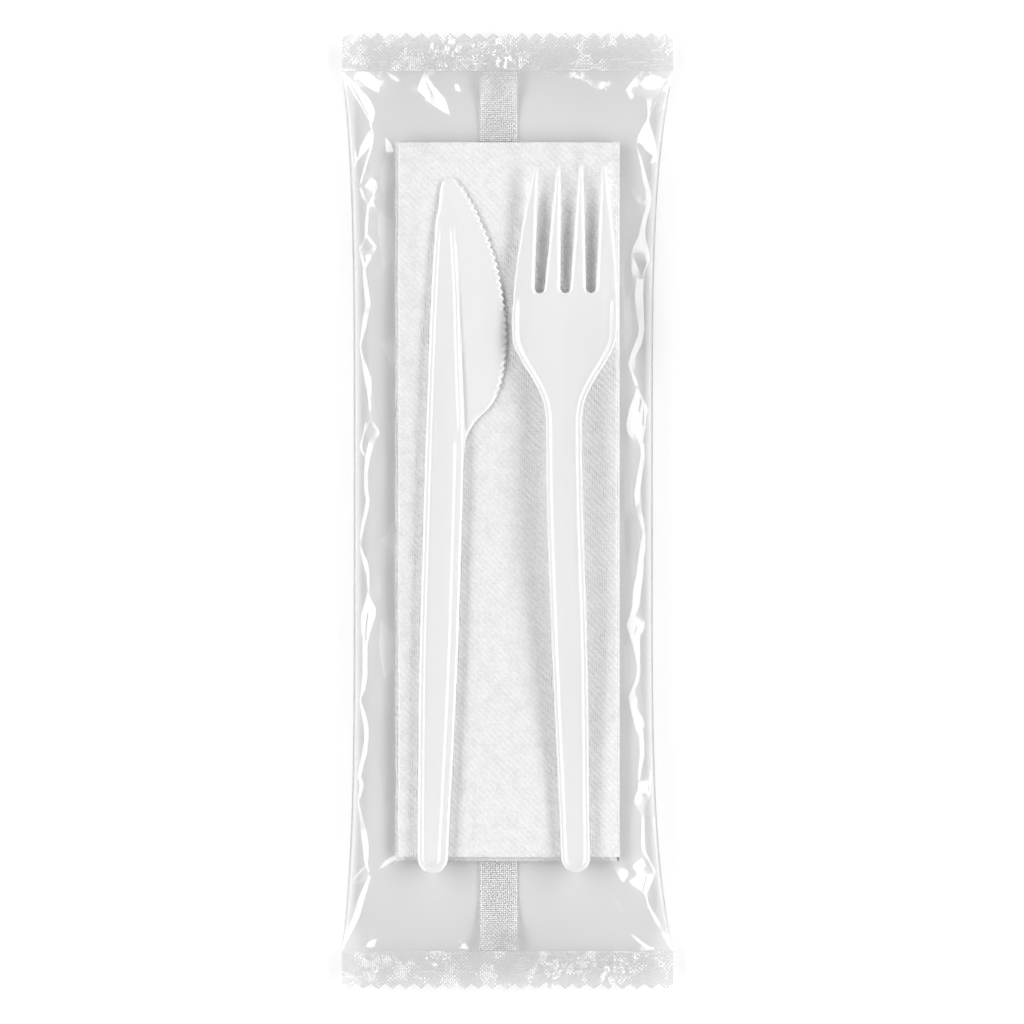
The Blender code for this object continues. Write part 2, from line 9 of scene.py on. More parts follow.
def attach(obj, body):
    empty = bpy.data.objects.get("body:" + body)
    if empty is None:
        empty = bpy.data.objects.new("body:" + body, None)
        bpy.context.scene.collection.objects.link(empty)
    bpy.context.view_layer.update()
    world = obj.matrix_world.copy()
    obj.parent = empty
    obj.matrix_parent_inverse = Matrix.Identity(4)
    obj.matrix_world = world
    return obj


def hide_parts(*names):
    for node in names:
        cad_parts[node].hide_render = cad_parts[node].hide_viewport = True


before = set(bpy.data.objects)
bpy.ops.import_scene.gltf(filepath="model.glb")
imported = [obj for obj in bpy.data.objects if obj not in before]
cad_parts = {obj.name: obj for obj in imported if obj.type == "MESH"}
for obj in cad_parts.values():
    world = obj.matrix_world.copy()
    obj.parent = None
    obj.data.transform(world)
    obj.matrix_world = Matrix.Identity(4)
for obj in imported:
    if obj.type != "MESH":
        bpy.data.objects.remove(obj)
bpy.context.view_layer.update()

# Drawing units of 0.238 mm, counted from a corner beyond the pack's top left, with the
# places of the pack's middle and the picture's width in them
unit = 0.000238
packMiddle = (507.5, 511)
pictureWidth = 1024


def at(points):
    return [((x - packMiddle[0]) * unit, (packMiddle[1] - y) * unit) for x, y in points]


# Shared shape helpers

def smooth(low, high, value):
    share = np.clip((value - low) / (high - low), 0, 1)
    return share * share * (3 - 2 * share)


def through(points, value):
    # Reads a smooth line through a few (place, value) points, without overshoot
    xs, ys = (np.array(column, float) for column in zip(*points))
    slopes = np.diff(ys) / np.diff(xs)
    same = slopes[:-1] * slopes[1:] > 0
    middle = np.where(same, (slopes[:-1] + slopes[1:]) / 2, 0.0)
    ends = np.concatenate(([slopes[0]], middle, [slopes[-1]]))
    value = np.clip(value, xs[0], xs[-1])
    i = np.clip(np.searchsorted(xs, value, side="right") - 1, 0, len(xs) - 2)
    span = xs[i + 1] - xs[i]
    u = (value - xs[i]) / span
    return (ys[i] * (1 + 2 * u) * (1 - u) ** 2 + ys[i + 1] * (3 - 2 * u) * u ** 2
            + span * (ends[i] * u * (1 - u) ** 2 - ends[i + 1] * (1 - u) * u ** 2))


def resampled(points, step, closed=True):
    points = np.array(points, float)
    ring = np.vstack([points, points[:1]]) if closed else points
    out = []
    for a, b in zip(ring, ring[1:]):
        count = max(1, round(float(np.linalg.norm(b - a)) / step))
        out += [a + (b - a) * k / count for k in range(count)]
    return np.array(out if closed else out + [ring[-1]])


def distanceTo(points, loop, closed=True):
    # Distance from each point to a line
    a = loop if closed else loop[:-1]
    b = np.roll(loop, -1, axis=0) if closed else loop[1:]
    run = b - a
    length = np.maximum((run ** 2).sum(1), 1e-18)
    best = np.empty(len(points))
    for first in range(0, len(points), 2000):
        part = points[first:first + 2000, None, :]
        share = np.clip(((part - a) * run).sum(2) / length, 0, 1)
        gap = part - a - share[..., None] * run
        best[first:first + 2000] = np.sqrt((gap ** 2).sum(2).min(1))
    return best


def within(points, loop):
    # Even-odd test of each point against a closed line
    x, y = points[:, 0], points[:, 1]
    hits = np.zeros(len(points), bool)
    for (ax, ay), (bx, by) in zip(loop, np.roll(loop, -1, axis=0)):
        if ay != by:
            cross = ax + (y - ay) * (bx - ax) / (by - ay)
            hits ^= ((ay > y) != (by > y)) & (x < cross)
    return hits


def lattice(low, high, step):
    rows = np.arange(low[1], high[1], step * 0.866)
    columns = np.arange(low[0], high[0], step)
    x, y = np.meshgrid(columns, rows)
    x = x + (np.arange(len(rows)) % 2)[:, None] * step / 2
    return np.column_stack([x.ravel(), y.ravel()])


def gridFaces(columns, rows, first=0):
    # Quads between points that run row by row inside each column
    starts = [first + c * rows + r for c in range(columns - 1) for r in range(rows - 1)]
    return [(i, i + 1, i + rows + 1, i + rows) for i in starts]


def makeMesh(name, verts, faces, materials, marks=None, sharp=None):
    mesh = bpy.data.meshes.new(name)
    mesh.from_pydata([tuple(v) for v in verts], [], [tuple(f) for f in faces])
    for material in materials:
        mesh.materials.append(material)
    if marks is not None:
        mesh.polygons.foreach_set("material_index", np.array(marks, np.int32))
    mesh.shade_smooth()
    if sharp is not None:
        mesh.set_sharp_from_angle(angle=math.radians(sharp))
    mesh.update()
    item = bpy.data.objects.new(name, mesh)
    bpy.context.scene.collection.objects.link(item)
    return item


# Shader helpers

def newMaterial(name):
    material = bpy.data.materials.new(name)
    material.use_nodes = True
    tree = material.node_tree
    tree.nodes.clear()
    out = tree.nodes.new("ShaderNodeOutputMaterial")
    return material, tree, out


def add(tree, kind, values=(), **settings):
    # A node with its settings, its inputs given by name or number
    node = tree.nodes.new("ShaderNode" + kind)
    for key, value in settings.items():
        setattr(node, key, value)
    for key, value in dict(values).items():
        if isinstance(value, bpy.types.NodeSocket):
            tree.links.new(value, node.inputs[key])
        else:
            node.inputs[key].default_value = value
    return node


def maths(tree, operation, a, b=0.0, clamp=False):
    node = add(tree, "Math", {0: a, 1: b}, operation=operation, use_clamp=clamp)
    return node.outputs[0]


def ramp(tree, value, low, high, toLow=0.0, toHigh=1.0, kind="SMOOTHSTEP"):
    node = add(tree, "MapRange", {0: value, 1: low, 2: high, 3: toLow, 4: toHigh},
               interpolation_type=kind)
    return node.outputs[0]


def newGroup(name, inputs, outputs):
    group = bpy.data.node_groups.new(name, "ShaderNodeTree")
    for label, kind, value in inputs:
        socket = group.interface.new_socket(label, in_out="INPUT", socket_type=kind)
        socket.default_value = value
    for label, kind in outputs:
        group.interface.new_socket(label, in_out="OUTPUT", socket_type=kind)
    return group, group.nodes.new("NodeGroupInput"), group.nodes.new("NodeGroupOutput")


# Camera, light and floor
print("stage")
camera = bpy.data.objects.new("camera", bpy.data.cameras.new("camera"))
bpy.context.scene.collection.objects.link(camera)
camera.data.type = "ORTHO"
camera.data.ortho_scale = pictureWidth * unit
camera.data.clip_start = 0.01
camera.data.clip_end = 10
camera.location = (*at([(pictureWidth / 2, pictureWidth / 2)])[0], 1.0)
bpy.context.scene.camera = camera

# Places of the side boxes and their spill are sideways leans per rise, and those of the end
# boxes are endways ones. A turn is endways per sideways, from where it starts to fade to where
# it ends. The dim sky changes between two rises, from zenith to side
sky = dict(zenith=0.175, side=0.2, dimFrom=0.95, dimTo=0.15, boxes=3.45, boxFrom=0.95, boxTo=2.1,
           boxSoft=0.06, boxTurn=(1.45, 1.25), spill=1.0, spillFrom=0.5, spillTurn=(2.2, 0.8),
           endBoxes=1.6, endFrom=(1.9, 2.2), endTo=(5.6, 5.0), endTurn=(1.5, 1.8))


def makeWorld():
    # Two long soft boxes beside the pack, two low ones beyond its ends, dim elsewhere
    world = bpy.data.worlds.new("studio")
    world.use_nodes = True
    tree = world.node_tree
    tree.nodes.clear()
    coords = add(tree, "TexCoord")
    parts = add(tree, "SeparateXYZ", {0: coords.outputs["Generated"]})
    x = maths(tree, "ABSOLUTE", parts.outputs[0])
    y = maths(tree, "ABSOLUTE", parts.outputs[1])
    z = maths(tree, "MAXIMUM", parts.outputs[2], 0.001)
    sideways = maths(tree, "DIVIDE", x, z)
    endways = maths(tree, "DIVIDE", y, z)
    turned = maths(tree, "DIVIDE", y, maths(tree, "MAXIMUM", x, 0.001))
    near = ramp(tree, sideways, sky["boxFrom"] - sky["boxSoft"], sky["boxFrom"] + sky["boxSoft"])
    far = ramp(tree, sideways, sky["boxTo"] * 1.08, sky["boxTo"] * 0.92)
    box = maths(tree, "MULTIPLY", near, far)
    box = maths(tree, "MULTIPLY", box, ramp(tree, turned, *sky["boxTurn"]))
    spill = maths(tree, "MULTIPLY", ramp(tree, sideways, sky["spillFrom"], sky["boxFrom"]), sky["spill"])
    spill = maths(tree, "MULTIPLY", spill, ramp(tree, turned, *sky["spillTurn"]))
    low = maths(tree, "MULTIPLY", ramp(tree, endways, *sky["endFrom"]), ramp(tree, endways, *sky["endTo"]))
    low = maths(tree, "MULTIPLY", low, ramp(tree, turned, *sky["endTurn"]))
    dim = ramp(tree, parts.outputs[2], sky["dimFrom"], sky["dimTo"], sky["zenith"], sky["side"])
    total = maths(tree, "ADD", dim, maths(tree, "MULTIPLY", box, sky["boxes"]))
    total = maths(tree, "ADD", total, maths(tree, "MULTIPLY", low, sky["endBoxes"]))
    total = maths(tree, "ADD", total, spill)
    light = add(tree, "Background", {"Color": (1, 1, 1, 1), "Strength": total})
    out = add(tree, "OutputWorld")
    tree.links.new(light.outputs[0], out.inputs[0])
    bpy.context.scene.world = world


def makeFloor():
    material, tree, out = newMaterial("pale_floor")
    shader = add(tree, "BsdfPrincipled", {"Base Color": (0.97, 0.97, 0.97, 1), "Roughness": 0.9})
    shader.inputs["Specular IOR Level"].default_value = 0.1
    tree.links.new(shader.outputs[0], out.inputs[0])
    reach, drop = 1.5, 0.0003
    corners = [(-reach, -reach), (reach, -reach), (reach, reach), (-reach, reach)]
    floor = makeMesh("floor", [(x, y, -drop) for x, y in corners], [(0, 1, 2, 3)], [material])


makeWorld()
makeFloor()
scene = bpy.context.scene
scene.view_settings.view_transform = "Standard"
scene.view_settings.look = "None"
scene.view_settings.exposure = 0.0
scene.cycles.transparent_max_bounces = 32
scene.cycles.caustics_reflective = False
scene.cycles.caustics_refractive = False
scene.cycles.use_denoising = True


# Moulded plastic and paper surfaces

def makeGrain():
    # Fine uneven height, for moulded plastic and for paper
    group, into, out = newGroup("fineGrain", [("Scale", "NodeSocketFloat", 900.0),
                                              ("Detail", "NodeSocketFloat", 3.0),
                                              ("Stretch", "NodeSocketVector", (1, 1, 1))],
                                [("Height", "NodeSocketFloat"), ("Mask", "NodeSocketFloat")])
    coords = add(group, "TexCoord")
    placed = add(group, "VectorMath", {0: coords.outputs["Object"], 1: into.outputs["Stretch"]},
                 operation="MULTIPLY")
    grain = add(group, "TexNoise", {"Vector": placed.outputs[0], "Scale": into.outputs["Scale"],
                                    "Detail": into.outputs["Detail"]})
    group.links.new(grain.outputs[0], out.inputs["Height"])
    group.links.new(ramp(group, grain.outputs[0], 0.42, 0.58), out.inputs["Mask"])
    return group


grainGroup = makeGrain()


def plasticMaterial(name, look):
    material, tree, out = newMaterial(name)
    flow = add(tree, "Group", {"Scale": look["flowScale"], "Detail": 2.0,
                               "Stretch": (1.0, 0.12, 1.0)}, node_tree=grainGroup)
    grain = add(tree, "Group", {"Scale": look["grainScale"], "Detail": 4.0}, node_tree=grainGroup)
    tint = add(tree, "Mix", {"Factor": flow.outputs["Mask"], 6: look["colour"],
                             7: look["deeper"]}, data_type="RGBA")
    rough = ramp(tree, grain.outputs["Height"], 0.3, 0.7, look["rough"] * 0.9, look["rough"] * 1.1)
    bump = add(tree, "Bump", {"Strength": look["bump"], "Distance": 0.0001,
                              "Height": grain.outputs["Height"]})
    shader = add(tree, "BsdfPrincipled", {
        "Base Color": tint.outputs[2], "Roughness": rough, "IOR": 1.55,
        "Normal": bump.outputs[0], "Subsurface Weight": look["soft"],
        "Subsurface Radius": (1, 1, 1), "Subsurface Scale": look["depth"], "Coat Weight": look["coat"]})
    shader.inputs["Coat Roughness"].default_value = 0.08
    shader.inputs["Coat IOR"].default_value = 1.5
    tree.links.new(shader.outputs[0], out.inputs[0])
    return material


# Napkin: lengths of the folded sheet, its colours (the darker also as painted shade in the emboss hollows)
# and the pitch of its embossing

napkin = dict(width=0.0535, length=0.1711, middle=0.0022, paper=0.00017, slit=0.00002,
              gap=0.00006, sideStep=0.0007, endStep=0.0010, base=0.00054,
              flat=(0.321, 0.342), colour=(0.965, 0.965, 0.965, 1), deeper=(0.85, 0.85, 0.85, 1),
              rows=0.00119, dots=0.00078, depth=0.65)


def makeEmboss():
    # Height of soft diagonal rows crossed by finer rows of round dots, and a mask of their hollows for
    # painted shade
    group, into, out = newGroup("emboss", [("Rows", "NodeSocketFloat", 0.0012),
                                           ("Dots", "NodeSocketFloat", 0.0008)],
                                [("Height", "NodeSocketFloat"), ("Mask", "NodeSocketFloat")])
    coords = add(group, "TexCoord")
    spots = add(group, "SeparateXYZ", {0: coords.outputs["Object"]})
    sway = add(group, "TexNoise", {"Vector": coords.outputs["Object"], "Scale": 45.0, "Detail": 3.0})
    swing = maths(group, "MULTIPLY", maths(group, "SUBTRACT", sway.outputs[0], 0.5), 0.003)
    x = maths(group, "ADD", spots.outputs[0], swing)
    rising = maths(group, "ADD", x, spots.outputs[1])
    falling = maths(group, "SUBTRACT", x, spots.outputs[1])

    def wave(line, pitch):
        turns = maths(group, "DIVIDE", maths(group, "MULTIPLY", line, math.pi * math.sqrt(2)), pitch)
        return maths(group, "SINE", turns)

    rows = maths(group, "MULTIPLY", wave(rising, into.outputs["Rows"]), 0.34)
    dots = maths(group, "MULTIPLY", wave(rising, into.outputs["Dots"]), wave(falling, into.outputs["Dots"]))
    worn = add(group, "TexNoise", {"Vector": coords.outputs["Object"], "Scale": 330.0, "Detail": 2.0})
    dots = maths(group, "MULTIPLY", dots, ramp(group, worn.outputs[0], 0.3, 0.7))
    total = maths(group, "ADD", rows, dots)
    group.links.new(total, out.inputs["Height"])
    group.links.new(ramp(group, total, 0.2, -0.9), out.inputs["Mask"])
    return group


embossGroup = makeEmboss()


def paperMaterial(look):
    material, tree, out = newMaterial("embossed_paper")
    pressed = add(tree, "Group", {"Rows": look["rows"], "Dots": look["dots"]}, node_tree=embossGroup)
    fibre = add(tree, "Group", {"Scale": 1900.0, "Detail": 4.0}, node_tree=grainGroup)
    clumps = add(tree, "Group", {"Scale": 300.0, "Detail": 2.0}, node_tree=grainGroup)
    height = maths(tree, "ADD", maths(tree, "MULTIPLY", pressed.outputs["Height"], 0.55),
                   maths(tree, "MULTIPLY", fibre.outputs["Height"], 1.5))
    height = maths(tree, "ADD", height, clumps.outputs["Height"])
    bump = add(tree, "Bump", {"Strength": look["depth"], "Distance": 0.00024, "Height": height})
    # Painted shade darkens the emboss hollows, mixed with the fibres' own uneven tone
    shade = maths(tree, "ADD", maths(tree, "MULTIPLY", pressed.outputs["Mask"], 0.7),
                  maths(tree, "MULTIPLY", fibre.outputs["Mask"], 0.5), clamp=True)
    tint = add(tree, "Mix", {"Factor": shade, 6: look["colour"], 7: look["deeper"]}, data_type="RGBA")
    shader = add(tree, "BsdfPrincipled", {"Base Color": tint.outputs[2], "Roughness": 0.95,
                                          "Normal": bump.outputs[0], "Sheen Weight": 0.05})
    shader.inputs["Specular IOR Level"].default_value = 0.15
    tree.links.new(shader.outputs[0], out.inputs[0])
    return material


def napkinPath(n):
    # Middle line of the folded section, from one free edge to the other
    layer = 2 * n["paper"] + n["slit"]
    pitch = layer + n["gap"]
    left, right = -n["width"] / 2, n["width"] / 2
    wide, small, edge = 1.5 * pitch, 0.5 * pitch, layer / 2
    rightTurn = right - wide - edge
    leftTurn = left + n["sideStep"] + wide + edge
    endTurn = right - n["sideStep"] - small - edge

    def arc(x, level, radius, side, upwards):
        angles = [math.pi * (i / 8 - 0.5) * (1 if upwards else -1) for i in range(9)]
        return [(x + side * radius * math.cos(a), level * pitch + radius * math.sin(a)) for a in angles]

    path = [(left, 0.0)] + arc(rightTurn, 1.5, wide, 1, True)
    path += arc(leftTurn, 3.5, small, -1, True) + arc(endTurn, 4.5, small, 1, True)
    path += arc(leftTurn, 3.5, wide, -1, False) + arc(rightTurn, 1.5, small, 1, False)
    path.append((left, pitch))
    return resampled(path, 0.0035, closed=False)


def makeNapkin(n):
    # One sheet, doubled over at the top end, then folded along the path
    layer = 2 * n["paper"] + n["slit"]
    pitch = layer + n["gap"]
    path = napkinPath(n)
    heading = np.gradient(path, axis=0)
    heading /= np.linalg.norm(heading, axis=1)[:, None]
    across = np.column_stack([-heading[:, 1], heading[:, 0]])
    offset = (n["paper"] + n["slit"]) / 2
    top = n["middle"] + n["length"] / 2 - offset
    bottom = n["middle"] - n["length"] / 2
    rows = [(bottom + (top - bottom) * k / 60, offset) for k in range(61)]
    rows += [(top + offset * math.cos(a), offset * math.sin(a)) for a in np.radians((60, 30, 0, -30, -60))]
    rows += [(y, -s) for y, s in reversed(rows[:61])]
    verts = []
    for y, side in rows:
        for (x, z), (ax, az) in zip(path, across):
            upper = z > 1.5 * pitch + 0.2 * n["gap"]
            low = bottom + (n["endStep"] if upper else 0.0)
            lift = n["base"] + layer / 2
            wave = 0.00003 * noise.noise((x * 120, y * 90, z * 900)) * (1 if upper else 0)
            verts.append((x + ax * side, max(y, low), z + az * side + lift + wave))
    faces = gridFaces(len(rows), len(path))
    item = makeMesh("napkin_folded", verts, faces, [paperMaterial(n)])
    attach(item, "root")
    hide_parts("napkin")


# Knife and fork: outlines seen from above, heights by distance from the edge

def moulding(name, loop, rings, lines, step, topAt, bottomAt, place, lean, material):
    ahead = np.roll(loop, -1, axis=0) - np.roll(loop, 1, axis=0)
    ahead /= np.linalg.norm(ahead, axis=1)[:, None]
    inward = np.column_stack([-ahead[:, 1], ahead[:, 0]])
    points = []
    for gap in rings:
        ring = loop + inward * gap
        keep = within(ring, loop)
        keep[keep] = distanceTo(ring[keep], loop) > 0.93 * gap
        points.append(ring[keep])
    points += lines
    fill = lattice(loop.min(0), loop.max(0), step)
    fill = fill[within(fill, loop)]
    fill = fill[distanceTo(fill, loop) > rings[-1] + step * 0.4]
    if lines:
        near = np.vstack(lines)
        far = [np.min(((near - p) ** 2).sum(1)) > (step * 0.45) ** 2 for p in fill]
        fill = fill[np.array(far)]
    points = np.vstack([loop] + points + [fill])
    edge = list(range(len(loop)))
    made = delaunay_2d_cdt([tuple(p) for p in points], [], [edge], 1, 1e-7)
    flat = np.array([tuple(v) for v in made[0]])
    triangles = [tuple(f) for f in made[2]]
    gap = distanceTo(flat, loop)
    top = topAt(flat, gap)
    bottom = bottomAt(flat, gap)
    bottom = np.minimum(bottom, top - 0.00005)
    count = len(flat)
    verts = np.vstack([np.column_stack([flat, top]), np.column_stack([flat, bottom])])
    faces = triangles + [tuple(i + count for i in reversed(f)) for f in triangles]
    sides = {}
    for f in triangles:
        for a, b in zip(f, f[1:] + f[:1]):
            sides[(a, b)] = True
    faces += [(b, a, a + count, b + count) for a, b in sides if (b, a) not in sides]
    turn = Matrix.Translation((*place, 0)) @ Matrix.Rotation(-math.radians(lean), 4, "Z")
    item = makeMesh(name, verts, faces, [material], sharp=48)
    item.data.transform(turn)
    return item


def profile(points, gap):
    # Height over the distance from the edge, both given in millimetres
    xs, ys = zip(*points)
    return np.interp(gap * 1000, xs, ys) / 1000


def handleSides(k, neck, count):
    # Places along a handle from its round butt to the neck, and its half width at each
    butt, full, radius = k["buttWidth"], k["width"], k["buttWidth"] / 2
    arc = np.radians(np.linspace(0, 90, 16))
    t = np.concatenate([radius * (1 - np.cos(arc)), np.linspace(radius, neck, count)[1:]])
    ends = np.concatenate([np.sin(arc), np.ones(len(t) - len(arc))])
    shape = ((0, butt / full), (0.2, 0.86), (0.42, 0.96), (0.62, 1.0), (1.0, 1.0))
    return t, through(shape, t / neck) * full / 2 * ends


# Knife. back, rib and cut run from the neck to the nose, as shares of the blade against shares
# of half the width or of the reach. Rims and bevel give heights by the distance in from an
# edge, both in millimetres, as floor and plate are
knife = dict(length=0.1654, butt=(-0.0179, -0.0862), lean=1.68, width=0.0092, buttWidth=0.0070,
             blade=0.0650, reach=0.0141, pitch=0.00167, tooth=0.0006, base=0.0033,
             back=((0, 1.0), (0.35, 0.97), (0.6, 0.92), (0.75, 0.862), (0.81, 0.835), (0.85, 0.80),
                   (0.883, 0.71), (0.95, 0.635), (0.97, 0.61), (0.985, 0.52), (0.993, 0.40), (1.0, 0.15)),
             rib=((0, 1.0), (0.4, 0.63), (0.6, 0.48), (0.7, 0.35), (0.775, 0.266), (0.83, 0.19),
                  (0.867, 0.10), (0.892, -0.04)),
             cut=((0.0, 0.0), (0.06, 0.07), (0.12, 0.3), (0.17, 0.62), (0.225, 0.83), (0.27, 0.92),
                  (0.38, 1.0), (0.47, 0.984), (0.56, 0.9), (0.66, 0.755), (0.76, 0.535), (0.86, 0.23),
                  (0.93, -0.035), (0.977, -0.27), (1.0, -0.47)),
             leftRim=((0, 0), (0.06, 0.08), (0.5, 0.32), (0.62, 0.34), (0.85, 0.34), (0.97, 0.31),
                      (1.55, 0), (9, 0)),
             rightRim=((0, 0), (0.06, 0.06), (0.7, 0.36), (0.95, 0.37), (1.4, 0.58), (1.65, 0.59),
                       (2.6, 0.03), (2.8, 0), (9, 0)),
             bladeRim=((0, 0.05), (0.5, 0.33), (0.6, 0.35), (0.8, 0.35), (0.9, 0.33), (1.45, 0.02), (9, 0)),
             bevel=((0, 0.28), (0.05, 0.33), (0.3, 0.47), (0.6, 0.6), (0.9, 0.69), (1.2, 0.74), (1.6, 0.76),
                    (9, 0.76)),
             floor=1.58, plate=0.76, step=0.0011, colour=(0.95, 0.95, 0.955, 1),
             deeper=(0.93, 0.93, 0.935, 1), rough=0.14, coat=0.8, bump=0.02, grainScale=1400.0,
             flowScale=120.0, soft=0.1, depth=0.0007)


def knifeOutline(k):
    # Full outline, the ridge between handle and blade plate, and where the blade starts
    neck = k["length"] - k["blade"]
    t, half = handleSides(k, neck, 180)
    up = np.linspace(neck, k["length"], 200)[1:]
    u = (up - neck) / k["blade"]
    left = -through(k["back"], u) * k["width"] / 2
    rib = through(k["rib"], u) * k["width"] / 2
    fine = np.linspace(neck, k["length"], 620)[1:]
    v = (fine - neck) / k["blade"]
    cut = k["width"] / 2 + through(k["cut"], v) * (k["reach"] - k["width"] / 2)
    run = np.concatenate([[0], np.cumsum(np.hypot(np.diff(cut), np.diff(fine)))])
    place = (run - np.interp(0.2 * k["blade"], fine - neck, run)) / k["pitch"]
    toothed = smooth(0.0, 0.8, place) * smooth(run[-1] - 0.0006, run[-1] - 0.0018, run)
    wave = np.abs(2 * (place - np.floor(place)) - 1) ** 1.3
    cut = cut - toothed * k["tooth"] * wave
    rightUp = np.column_stack([np.concatenate([half, cut]), np.concatenate([t, fine])])
    leftUp = np.column_stack([np.concatenate([-half, left]), np.concatenate([t, up])])
    full = np.vstack([rightUp, leftUp[::-1][:-1]])
    kept = u < k["rib"][-1][0]
    ridge = np.column_stack([np.concatenate([half, rib[kept]]), np.concatenate([t, up[kept]])])
    return full, leftUp, ridge, neck


def makeKnife(k):
    full, leftUp, ridge, neck = knifeOutline(k)
    full = resampled(full, 0.0003)
    ridge = resampled(ridge, 0.0004, closed=False)
    leftUp = resampled(leftUp, 0.0004, closed=False)
    ahead = np.gradient(ridge, axis=0)
    ahead /= np.linalg.norm(ahead, axis=1)[:, None]
    inward = np.column_stack([-ahead[:, 1], ahead[:, 0]])
    lines = []
    for gap in (-0.36, -0.18, 0.0, 0.06, 0.3, 0.5, 0.6, 0.8, 0.9, 1.15, 1.42, 1.65, 2.1, 2.6):
        line = (ridge + inward * gap / 1000)[ridge[:, 1] > neck - 0.002]
        keep = within(line, full)
        keep[keep] = distanceTo(line[keep], full) > 0.0004
        lines.append(line[keep])

    def topAt(points, gap):
        x, t = points.T
        u = (t - neck) / k["blade"]
        nose = smooth(0.78, 0.9, u)
        floor = k["plate"] + (k["floor"] - k["plate"]) * (1 - smooth(0.15, 0.8, u))
        away = distanceTo(points, ridge, closed=False)
        low = smooth(-0.02, 0.12, u)
        right = profile(k["rightRim"], away) * (1 - low) + profile(k["bladeRim"], away) * low
        left = profile(k["leftRim"], distanceTo(points, leftUp, closed=False))
        inner = floor / 1000 + np.maximum(left, right * (1 - nose))
        plate = profile(k["bevel"], gap)
        beside = (x > np.interp(t, ridge[:, 1], ridge[:, 0])) & (u > 0) & (t < ridge[-1, 1])
        outer = np.where(beside, np.maximum(plate, floor / 1000 - away * 2.2), inner)
        return outer * (1 - nose) + np.where(beside, plate, np.maximum(plate, left * 0.5)) * nose

    def bottomAt(points, gap):
        return 0.0002 * (1 - smooth(0.0, 0.0006, gap))

    rings = [g / 1000 for g in (0.06, 0.3, 0.5, 0.62, 0.85, 0.97, 1.25, 1.55, 2.0, 2.6)]
    item = moulding("knife_moulded", full, rings, lines, k["step"], topAt, bottomAt,
                    k["butt"], k["lean"], plasticMaterial("knife_plastic", k))
    item.data.transform(Matrix.Translation((0, 0, k["base"])))
    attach(item, "root")
    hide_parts("knife")


# Fork. rim, for handle and head, and edge, for the tines, give heights by the distance in from
# the outline, both in millimetres
fork = dict(length=0.1683, butt=(0.0163, -0.0859), lean=-0.49, width=0.0086, buttWidth=0.0068,
            head=0.0600, headWidth=0.0251, tipSpan=0.0171, slot=0.0305, slotWidth=0.0023,
            slotPitch=0.0061, tip=0.0011, bow=0.0020, arch=0.0038, tineRise=0.0028, dish=0.0009,
            base=0.0033, step=0.0011,
            rim=((0, 1.62), (0.06, 1.7), (0.4, 1.9), (0.6, 1.92), (0.8, 1.9), (1.3, 1.64), (1.7, 1.49),
                 (2.2, 1.42), (2.8, 1.4), (9, 1.4)),
            edge=((0, 0.75), (0.06, 0.86), (0.3, 1.0), (0.55, 1.13), (0.8, 1.22), (1.1, 1.28), (1.5, 1.3),
                  (9, 1.3)),
            colour=(0.93, 0.93, 0.935, 1), deeper=(0.91, 0.91, 0.915, 1), rough=0.14, coat=0.8, bump=0.02,
            grainScale=1400.0, flowScale=120.0, soft=0.1, depth=0.0007)


def forkMiddle(f, t):
    bow = ((0.0, 0.0), (0.27, 0.45), (0.6, 1.0), (0.78, 0.78), (0.9, 0.4), (1.0, 0.0))
    return -f["bow"] * through(bow, t / f["length"])


def forkOutline(f):
    neck = f["length"] - f["head"]
    t, half = handleSides(f, neck, 160)
    up = np.linspace(neck, f["length"] - f["tip"] / 2, 150)[1:]
    u = (up - neck) / f["head"]
    grow = through(((0.0, 0.0), (0.07, 0.1), (0.15, 0.38), (0.23, 0.74), (0.3, 0.96), (0.38, 1.0)), u)
    draw = through(((0.4, 0.0), (0.55, 0.1), (0.75, 0.42), (0.9, 0.76), (1.0, 1.0)), u)
    wide = f["width"] / 2 + (f["headWidth"] - f["width"]) / 2 * grow
    wide = wide - (f["headWidth"] - f["tipSpan"]) / 2 * draw
    t = np.concatenate([t, up])
    half = np.concatenate([half, wide])
    middle = forkMiddle(f, t)
    right = np.column_stack([middle + half, t])
    left = np.column_stack([middle - half, t])
    root = f["length"] - f["slot"]
    radius = f["slotWidth"] / 2
    free = (f["tipSpan"] - 4 * f["tip"]) / 3
    high = f["length"] - f["tip"] / 2
    crown = []
    tipMiddle = forkMiddle(f, np.array([f["length"]]))[0]

    def roundTip(x):
        angles = np.radians(np.linspace(0, 180, 9)[1:-1])
        return [(x + f["tip"] / 2 * math.cos(a), high + f["tip"] / 2 * math.sin(a)) for a in angles]

    for place in (1, 0, -1):
        x = place * f["slotPitch"] + forkMiddle(f, np.array([root]))[0]
        tipX = place * (free + f["tip"]) + tipMiddle
        crown += roundTip(tipX + free / 2 + f["tip"] / 2)
        crown.append((tipX + free / 2, high))
        angles = np.radians(np.linspace(0, 180, 17))
        crown += [(x + radius * math.cos(a), root + radius - radius * math.sin(a)) for a in angles]
        crown.append((tipX - free / 2, high))
    crown += roundTip(tipMiddle - 1.5 * free - 1.5 * f["tip"])
    return np.vstack([right, crown, left[::-1][:-1]]), neck


